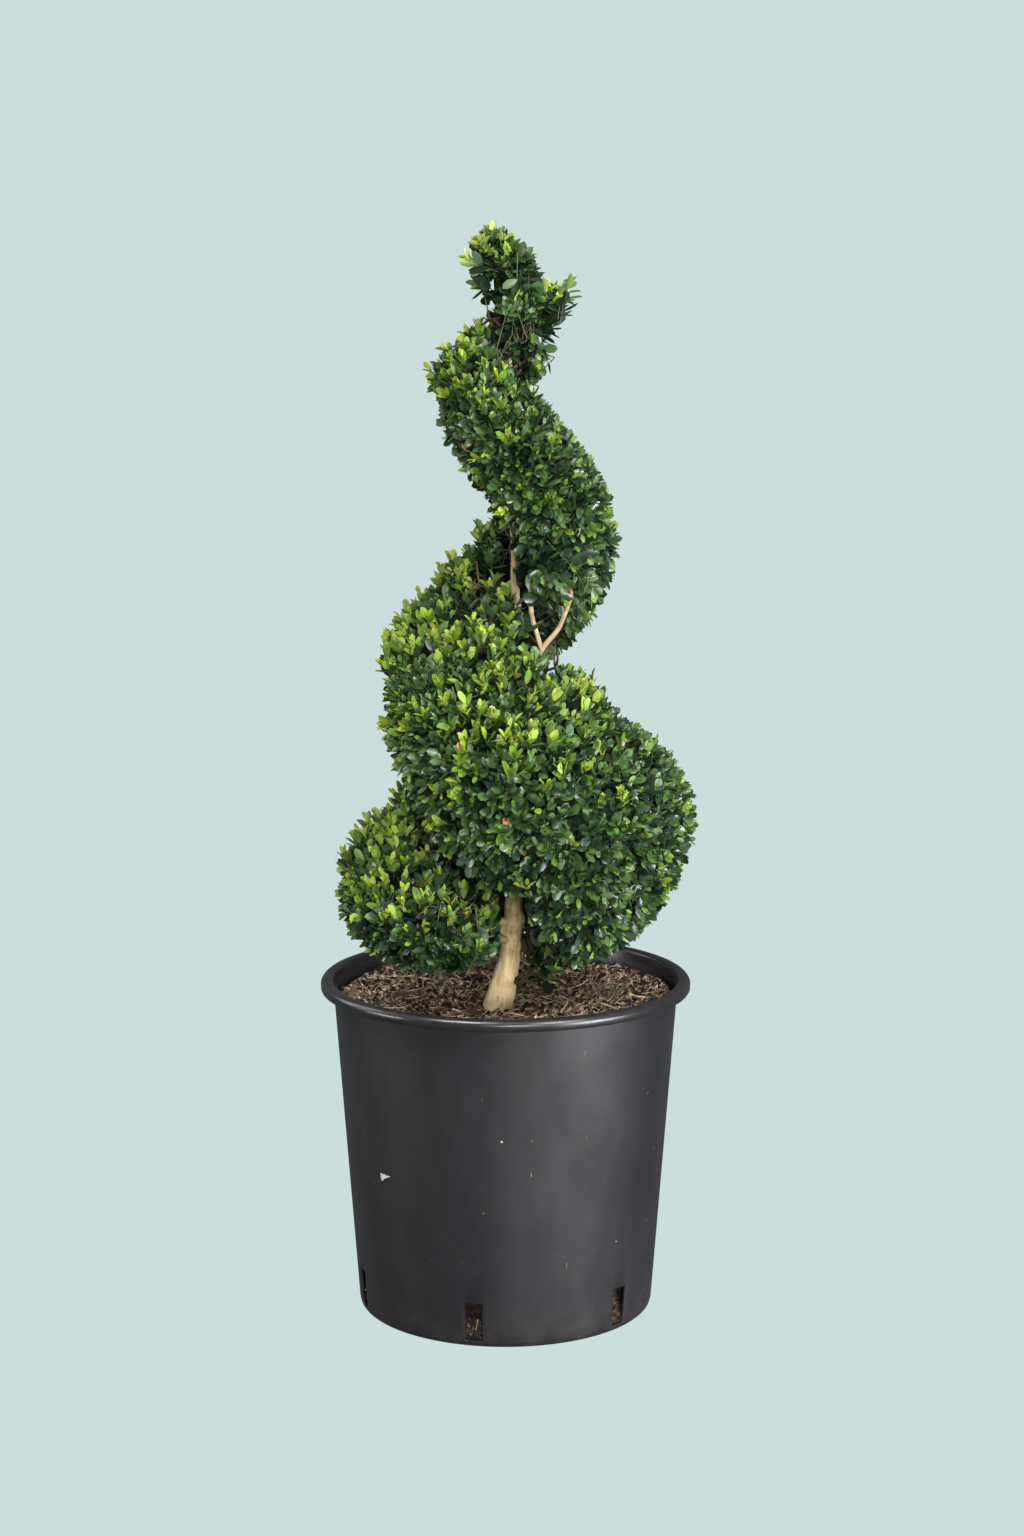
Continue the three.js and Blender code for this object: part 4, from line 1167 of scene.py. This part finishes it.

# The year's shoots. Those on the upper and sunny side are the young, bright ones, in part their own tone
# and in part painted light, and some have grown on past the last clipping. Besides the band and the knob, a
# few loose clumps carry them.
shoot_spacing, knob_spacing = 0.0124, 0.0098
loose_clumps = [
    # shoots, between two half turns, two radii and two heights, slope, way outwards and upwards
    (60, (1.5, 1.98), (0.026, 0.09), (0.764, 0.79), 0.85, (0.5, 0.85)),  # in the front groove, at the left
    (9, (1.44, 1.56), (0.03, 0.06), (0.745, 0.775), 0.3, (0.6, 0.8)),  # among the fork's arms
    (46, (1.14, 1.42), (0.066, 0.112), (0.774, 0.818), 0.1, (0.8, -0.6)),  # over the fork, at the right
    (22, (1.36, 1.58), (0.07, 0.1), (0.708, 0.728), 0.0, (0.6, 0.6)),  # before the fork's foot
    (32, (-0.98, -0.64), (0.034, 0.08), (0.388, 0.436), 0.1, (0.9, 0.25)),  # low, right of the trunk
    (30, (0.45, 1.55), (0.012, 0.032), (1.035, 1.105), 0.0, (1.0, 0.3)),  # round the neck
    (5, (0.95, 1.15), (0.056, 0.068), (1.094, 1.104), -0.2, (0.7, 0.7)),  # a tuft right of the knob
    (6, (1.85, 2.1), (0.038, 0.045), (1.1, 1.148), 0.0, (1.0, 0.2)),  # at the knob's left
]
places = [sample_skin(shoot_spacing, chance), sample_knob(knob_spacing)]
places += [sample_clump(count, chance, *limits) for count, *limits in loose_clumps]
places = np.concatenate(places)
# The foliage thins towards the top, where the sky shows through it, and it parts in front of the trunk.
thin = 0.3 * smoothstep(places[:, 2], 1.02, 1.1)
places = trimmed(places[(chance.random(len(places)) > thin) & ~before_trunk(places[:, :3])])
# The right of the highest turn is clipped closer.
right_top = smoothstep(places[:, 2], 0.995, 1.03) * (1 - smoothstep(places[:, 2], 1.07, 1.09))
places[:, 0] -= 0.3 * right_top * np.maximum(places[:, 0] - 0.005, 0)
skin_places, skin_way, shoot_turns, shoot_share = places[:, :3], places[:, 3:6], places[:, 6], places[:, 7]
shoot_count = len(places)
# Bright shoots are dealt out most where the skin faces the light from the upper left: partly the young
# growth's own tone, partly painted light.
sun = unit(np.array([-0.55, -0.25, 0.8]))
sunny = smoothstep(skin_way @ sun, 0.0, 1.0)
patchy = np.array([0.5 + 0.9 * noise.noise(Vector(p * 17)) for p in skin_places])
# Bright shoots are scarcer in the upper turns and at the foot, and make up the tuft right of the knob.
less_above = 0.58 * smoothstep(places[:, 2], 0.8, 0.95) * (1 - smoothstep(places[:, 2], 1.08, 1.12))
less_below = 0.75 * (1 - smoothstep(places[:, 2], 0.43, 0.475))
likely = np.clip(0.05 + 1.05 * sunny * patchy, 0, 0.8) * (1 - less_above) * (1 - less_below)
bright = chance.random(shoot_count) < likely
bright |= (skin_places[:, 2] > 1.08) & (skin_places[:, 0] > 0.05)
# The low sprigs, in the shade of the lobe above, are given bright shoots too: painted light.
sprig = (skin_places[:, 2] < 0.46) & (shoot_turns == free_turn)
bright |= sprig & (chance.random(shoot_count) < 0.45)
stray = bright & (chance.random(shoot_count) < 0.33 * sunny)
upright = smoothstep(skin_way[:, 2], -0.5, 0.3) * (0.5 + 0.45 * bright)
shoot_way = skin_way + upright[:, None] * np.array([0, 0, 1.0]) + 0.3 * chance.normal(size=(shoot_count, 3))
shoot_way = unit(shoot_way)
deep = slackness(shoot_turns, shoot_share)
proud = chance.uniform(-0.0185, -0.0095, shoot_count) - deep
proud += bright * chance.uniform(0.001, 0.007, shoot_count)
proud += stray * chance.uniform(0.005, 0.015, shoot_count)
shoot_tips = skin_places + skin_way * proud[:, None]
room = np.linalg.norm(skin_places - stem_at(skin_places[:, 2]), axis=1)
shoot_length = np.minimum(chance.uniform(0.034, 0.044, shoot_count), 0.75 * np.maximum(room, 0.02))
shoot_feet = shoot_tips - shoot_way * shoot_length[:, None]

# The wood inside the foliage is painted dark: painted shade over the old wood's own brown.
old_wood, *_ = cloudy_material(
    "old_wood", 0.85, (0.06, 0.045, 0.029), (0.03, 0.023, 0.015), 70, 0.4, 0.62, Specular_IOR_Level=0.3
)
young_wood, *_ = cloudy_material(
    "young_wood", 0.6, (0.055, 0.062, 0.02), (0.08, 0.062, 0.03), 45, 0.4, 0.62, Specular_IOR_Level=0.4
)
foliage_nodes = [name for name in sorted(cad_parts) if name.startswith(("foliage", "low_sprigs"))]


def finish_growth(made):
    """Smooths a grown piece and says what it stands for."""
    made.data.shade_smooth()
    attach(made, "root")
    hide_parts(*foliage_nodes)


# ---- the leaves ---------------------------------------------------------------------------------------
# Small leathery evergreen leaves in opposite pairs, each pair turned a quarter from the one below. Old ones
# are dark and glossy and turned down at the edges, young ones bright and cupped. Their undersides are
# paler. Each has its own outline of ten faces.
leaf_pairs = 6
pair_gap = 0.0058
pair_sizes = np.array([0.55, 0.85, 1.0, 1.0, 1.0, 0.95])
pair_swings = np.radians([22, 40, 54, 63, 69, 72])
leaf_length = 0.0178


def leaf_shape(name, cup, droop, widths):
    """A leaf one unit long along +X, with its upper side up: three outline points a side and a midrib."""
    rib = [(0, 0, 0), (0.3, 0, -droop * 0.09), (0.68, 0, -droop * 0.46), (1, 0, -droop)]
    verts = list(rib)
    for side in (1, -1):
        for along, half in zip((0.15, 0.47, 0.82), widths):
            verts.append((along, side * half, cup * half - droop * along**2))
    faces = []
    for a in (4, 7):
        b, c = a + 1, a + 2
        faces += [(0, 1, a), (1, b, a), (1, 2, b), (2, c, b), (2, 3, c)]
    shape = bmesh.new()
    points = [shape.verts.new(v) for v in verts]
    for face in faces:
        shape.faces.new([points[i] for i in face])
    for face in shape.faces:
        face.normal_update()
        if face.normal.z < 0:
            face.normal_flip()
        face.smooth = True
    return bpy.data.objects.new(name, mesh_from(shape, name))


old_leaf = leaf_shape("old_leaf", -0.28, 0.12, (0.15, 0.285, 0.22))
young_leaf = leaf_shape("young_leaf", 0.4, 0.05, (0.12, 0.23, 0.18))

leaves_on_points, entry, leave = new_group(
    "leaves_on_points",
    "GeometryNodeTree",
    {
        "Points": ("NodeSocketGeometry", None),
        "Leaf": ("NodeSocketObject", None),
        "Length": ("NodeSocketFloat", leaf_length),
        "Material": ("NodeSocketMaterial", None),
    },
    {"Leaves": "NodeSocketGeometry"},
)
along_here, facing_here, size_here = (
    add_node(leaves_on_points, "GeometryNodeInputNamedAttribute", {"Name": key}, data_type=kind)
    for key, kind in (("along", "FLOAT_VECTOR"), ("facing", "FLOAT_VECTOR"), ("size", "FLOAT"))
)
turned = add_node(
    leaves_on_points,
    "FunctionNodeAxesToRotation",
    {
        "Primary Axis": along_here.outputs["Attribute"],
        "Secondary Axis": facing_here.outputs["Attribute"],
    },
    primary_axis="X",
    secondary_axis="Z",
)
leaf_scale = arithmetic(leaves_on_points, "MULTIPLY", size_here.outputs["Attribute"], entry.outputs["Length"])
leaf_set = copies_on(
    leaves_on_points,
    entry.outputs["Points"],
    entry.outputs["Leaf"],
    turned.outputs["Rotation"],
    leaf_scale,
)
finish_group(leaves_on_points, leaf_set, entry.outputs["Material"], leave.inputs["Leaves"])


def point_mesh(name, points, along, facing, size):
    """Points that carry the way each leaf grows and faces, and its size."""
    mesh = bpy.data.meshes.new(name)
    mesh.from_pydata(points.tolist(), [], [])
    for key, values in (("along", along), ("facing", facing)):
        mesh.attributes.new(key, "FLOAT_VECTOR", "POINT").data.foreach_set("vector", values.ravel())
    mesh.attributes.new("size", "FLOAT", "POINT").data.foreach_set("value", size)
    return mesh


def leaf_material(name, colour, under, roughness, shine):
    """The two sides of a leaf: green broken up by a darker green above, and a paler tone beneath."""
    darker = (0.72 * colour[0], 0.76 * colour[1], 0.85 * colour[2])
    made, tree, shader, tone = cloudy_material(
        name, roughness, colour, darker, 70, 0.42, 0.6, Specular_IOR_Level=shine
    )
    side = add_node(tree, "ShaderNodeNewGeometry")
    both_sides = mixed(tree, side.outputs["Backfacing"], tone, (*under, 1))
    tree.links.new(both_sides, shader.inputs["Base Color"])
    return made


# The leaves of the shoots, as arrays of shoots x pairs x two sides.
chance = np.random.default_rng(77)
pairs = np.arange(leaf_pairs)
grid = (shoot_count, leaf_pairs, 2)
any_way = unit(chance.normal(size=(shoot_count, 3)))
across = unit(np.cross(shoot_way, any_way))
other = np.cross(shoot_way, across)
quarter = np.pi / 2 * pairs[None, :, None] + np.pi * np.arange(2)[None, None, :]
turn = quarter + chance.uniform(-0.22, 0.22, grid)
mean_swing = pair_swings[None, :, None] * (1 - 0.25 * bright - 0.2 * stray)[:, None, None]
swing = mean_swing + chance.normal(0, 0.26, grid)
aside = across[:, None, None] * np.cos(turn)[..., None] + other[:, None, None] * np.sin(turn)[..., None]
stalk = shoot_way[:, None, None]
leaf_along = unit(stalk * np.cos(swing)[..., None] + aside * np.sin(swing)[..., None])
gap = pair_gap * np.minimum(1, shoot_length / 0.035)
leaf_roots = shoot_tips[:, None, None] - stalk * (gap[:, None, None] * pairs[None, :, None])[..., None]
leaf_facing = stalk * 1.0 - aside * 0.35 + np.array([0, 0, 0.35]) + 0.42 * chance.normal(size=(*grid, 3))
leaf_size = pair_sizes[None, :, None] * chance.uniform(0.8, 1.18, grid)
leaf_size *= (1.06 - 0.06 * smoothstep(skin_places[:, 2], 0.7, 0.95))[:, None, None]
leaf_size *= (1 + 0.08 * smoothstep(skin_places[:, 2], 0.98, 1.05))[:, None, None]
leaf_points = np.broadcast_to(leaf_roots, (*grid, 3)).reshape(-1, 3)
leaf_along, leaf_facing = leaf_along.reshape(-1, 3), leaf_facing.reshape(-1, 3)
leaf_size = leaf_size.ravel()

# A leaf that would leave the band, or that a neighbour's shade or the shears have taken, is left out.
leaf_ends = leaf_points + leaf_along * (leaf_length * leaf_size)[:, None]
shoot_of_leaf = np.repeat(np.arange(shoot_count), leaf_pairs * 2)
pair_of_leaf = np.tile(np.repeat(pairs, 2), shoot_count)
margin = 0.002 + 0.002 * bright[shoot_of_leaf] + 0.012 * stray[shoot_of_leaf] - deep[shoot_of_leaf]
on_knob = shoot_turns[shoot_of_leaf] > band_end
leaf_middles = 0.5 * (leaf_points + leaf_ends)
in_notch = before_trunk(leaf_points) | before_trunk(leaf_middles) | before_trunk(leaf_ends)
off_axis = np.linalg.norm(leaf_ends - stem_at(leaf_ends[:, 2]), axis=1)
off_stem = off_axis > stem_radius(leaf_ends[:, 2]) + 0.003
# Leaves stand free round the neck, but for its bare left.
neck_from, neck_reach, bare_left = 1.03, 0.03, -0.006
by_neck = (leaf_ends[:, 2] > neck_from) & (off_axis < neck_reach) & (leaf_ends[:, 0] > bare_left)
in_its_space = on_knob | by_neck | sits_in_band(leaf_ends, margin)
kept = in_its_space & off_stem & ~in_notch & (leaf_ends[:, 2] < spiral_top)
kept &= chance.random(len(kept)) > 0.08 + 0.03 * pair_of_leaf

# A shoot that keeps fewer than four leaves, or stands too far from any branchlet, is dead wood, clipped
# away. The others stand on their twigs and end at their outermost leaves.
longest_twig = 0.046
twig_starts = nearest(shoot_feet, fine)
twig_reach = np.linalg.norm(shoot_feet - twig_starts, axis=1)
leafy = np.bincount(shoot_of_leaf[kept], minlength=shoot_count) > 3
leafy &= twig_reach < longest_twig
# The lower turns are a little sparser.
sparse = 0.17 * (1 - smoothstep(skin_places[:, 2], 0.58, 0.72))
leafy &= np.random.default_rng(5).random(shoot_count) > sparse
leafy &= ~before_trunk(bent_lines(twig_starts, shoot_feet, unit(shoot_feet - twig_starts), 12)).any(axis=1)
leafy &= ~before_trunk(shoot_feet) & ~before_trunk(shoot_tips)
kept &= leafy[shoot_of_leaf]
outermost = np.full(shoot_count, leaf_pairs)
np.minimum.at(outermost, shoot_of_leaf[kept], pair_of_leaf[kept])
shoot_tips = (shoot_tips - shoot_way * (gap * outermost)[:, None])[leafy]
shoot_feet, shoot_way, twig_starts = shoot_feet[leafy], shoot_way[leafy], twig_starts[leafy]
twigs = bent_lines(twig_starts, shoot_feet, unit(shoot_feet - twig_starts + 0.003 * shoot_way), 2)
shoots = bent_lines(shoot_feet, shoot_tips, shoot_way, 2)

wood_kinds = [
    ("mass_stems", path_mesh("mass_stems", mass_stems, stem_thickness, 0.0018), 8, young_bark),
    ("boughs", path_mesh("boughs", boughs, 0.0024, 0.0015), 6, old_wood),
    ("branchlets", path_mesh("branchlets", branchlets, 0.0015, 0.001), 5, old_wood),
    ("twigs", path_mesh("twigs", twigs, 0.0009, 0.0006), 4, old_wood),
    ("shoots", path_mesh("shoots", shoots, 0.00065, 0.0004), 3, young_wood),
]
for name, paths, sides, finish in wood_kinds:
    finish_growth(grown(name, paths, limbs_on_paths, Sides=sides, Material=finish))

# Leaf tones are dealt out by shoot and pair: the outer pairs are paler, and the inner ones are painted near
# black as shade.
luck = chance.random(len(kept))
is_bright, shade_luck = bright[shoot_of_leaf], chance.random(shoot_count)[shoot_of_leaf]
# How lit a shoot is picks paler or darker tones for its leaves: painted light where it faces the light, on
# the low sprigs and at the top of the knob, and painted shade at the foot.
lit = (sunny + 0.8 * sprig - 0.5 * less_below + 0.8 * smoothstep(skin_places[:, 2], 1.1, 1.13))[shoot_of_leaf]
tone_of_leaf = np.where((shade_luck + 0.3 * luck < 0.62 + 0.3 * lit) & (pair_of_leaf <= 2), 1, 0)
tone_of_leaf = np.where((pair_of_leaf == 3) & (luck < 0.35), 1, tone_of_leaf)
tone_of_leaf = np.where(is_bright & (pair_of_leaf <= 2), 2, tone_of_leaf)
tone_of_leaf = np.where(is_bright & (pair_of_leaf <= 1) & (shade_luck < 0.35 + 0.55 * lit), 3, tone_of_leaf)
tone_of_leaf = np.where(~is_bright & (pair_of_leaf == 0) & (shade_luck > 0.7), 2, tone_of_leaf)
tone_of_leaf = np.where(luck > 0.9994, 4, tone_of_leaf)
tone_of_leaf = np.where((pair_of_leaf >= 4) & (luck < 0.8), 5, tone_of_leaf)
leaf_tones = [
    # name, colour, underside, roughness, specular level, shape
    ("deep_green", (0.0145, 0.035, 0.013), (0.028, 0.05, 0.026), 0.29, 0.4, old_leaf),
    ("mid_green", (0.045, 0.094, 0.022), (0.055, 0.095, 0.036), 0.33, 0.38, old_leaf),
    ("fresh_green", (0.09, 0.18, 0.016), (0.13, 0.2, 0.05), 0.42, 0.28, young_leaf),
    ("lime_green", (0.205, 0.29, 0.018), (0.25, 0.32, 0.06), 0.45, 0.25, young_leaf),
    ("turned_brown", (0.27, 0.12, 0.04), (0.3, 0.18, 0.08), 0.6, 0.3, old_leaf),
    ("shaded_green", (0.0045, 0.012, 0.0045), (0.012, 0.022, 0.011), 0.4, 0.1, old_leaf),
]
most_leaves = 19000  # in one piece, so that it stays under 200,000 triangles
for number, (name, colour, under, roughness, shine, shape) in enumerate(leaf_tones):
    finish = leaf_material(name, colour, under, roughness, shine)
    chosen = np.flatnonzero(kept & (tone_of_leaf == number))
    chosen = chosen[np.argsort(leaf_points[chosen, 2], kind="stable")]
    parts = max(1, math.ceil(len(chosen) / most_leaves))
    for part, picked in enumerate(np.array_split(chosen, parts)):
        points = point_mesh(
            name, leaf_points[picked], leaf_along[picked], leaf_facing[picked], leaf_size[picked]
        )
        piece_name = f"leaves_{name}_{part + 1}"
        made = grown(piece_name, points, leaves_on_points, Leaf=shape, Length=leaf_length, Material=finish)
        finish_growth(made)

# ---- floor and light ----------------------------------------------------------------------------------
# A plain floor that rolls up all round into a backdrop, with a pale tone that is its own light and takes no
# shadow. One broad soft light stands low at the right, one in front and one over the top, three weaker ones
# at the sides, and there is pale daylight all round.
floor_radius, sweep, wall_height, floor_sides = 7.5, 2.0, 7.0, 96
flat_middle = 2.0
profile = [(flat_middle, 0.0)]
for turn in np.linspace(0, math.pi / 2, 16):
    profile.append((floor_radius - sweep + sweep * math.sin(turn), sweep - sweep * math.cos(turn)))
profile.append((floor_radius, wall_height))
floor_shape = bmesh.new()
rings = []
for radius, height in profile:
    turns_round = [2 * math.pi * i / floor_sides for i in range(floor_sides)]
    ring = [floor_shape.verts.new((radius * math.cos(a), radius * math.sin(a), height)) for a in turns_round]
    rings.append(ring)
floor_shape.faces.new(rings[0])
for near, far in zip(rings, rings[1:]):
    for i in range(floor_sides):
        j = (i + 1) % floor_sides
        floor_shape.faces.new([near[i], far[i], far[j], near[j]])
bmesh.ops.recalc_face_normals(floor_shape, faces=floor_shape.faces)
bmesh.ops.reverse_faces(floor_shape, faces=[f for f in floor_shape.faces if f.normal.z < -0.5])
floor_mesh = mesh_from(floor_shape, "floor")
floor_mesh.shade_smooth()
floor = new_object("floor", floor_mesh)
pale, *_ = material_of(
    "pale_floor",
    0.9,
    Specular_IOR_Level=0.0,
    Base_Color=(0, 0, 0, 1),
    Emission_Color=(0.591, 0.73, 0.716, 1),
    Emission_Strength=1.0,
)
floor.data.materials.append(pale)
floor.visible_diffuse = False
floor.visible_glossy = False


def soft_light(name, place, aim, width, height, power, colour):
    """A soft light at a place, turned to an aim."""
    lamp = bpy.data.lights.new(name, "AREA")
    lamp.shape = "RECTANGLE"
    lamp.size, lamp.size_y = width, height
    lamp.energy = power
    lamp.color = colour
    made = bpy.data.objects.new(name, lamp)
    made.location = place
    made.rotation_euler = (Vector(aim) - Vector(place)).to_track_quat("-Z", "Y").to_euler()
    bpy.context.collection.objects.link(made)


soft_light("window", (2.3, -1.75, 0.42), (0, 0, 0.35), 1.5, 0.75, 154, (0.97, 0.985, 1))
soft_light("front", (0.5, -3.7, 1.05), (0, 0, 0.5), 1.3, 0.8, 106, (1, 0.985, 0.96))
soft_light("overhead", (-1.0, -1.3, 3.1), (0, 0, 0.7), 1.2, 1.2, 102, (1, 0.99, 0.96))
soft_light("right_high", (1.2, -1.6, 2.2), (0.05, 0, 0.36), 0.55, 0.55, 64, (1, 0.99, 0.98))
soft_light("left_low", (-2.5, -0.7, 0.7), (0, 0, 0.25), 0.8, 0.8, 30, (1, 0.93, 0.88))
soft_light("left_fill", (-2.4, 0.9, 1.8), (0, 0, 0.7), 1.2, 1.8, 30, (0.95, 0.98, 1))
world = bpy.data.worlds.new("daylight")
world.use_nodes = True
world.node_tree.nodes["Background"].inputs["Color"].default_value = (0.8, 0.9, 0.9, 1)
world.node_tree.nodes["Background"].inputs["Strength"].default_value = 0.16
bpy.context.scene.world = world
bpy.context.scene.view_settings.view_transform = "Standard"
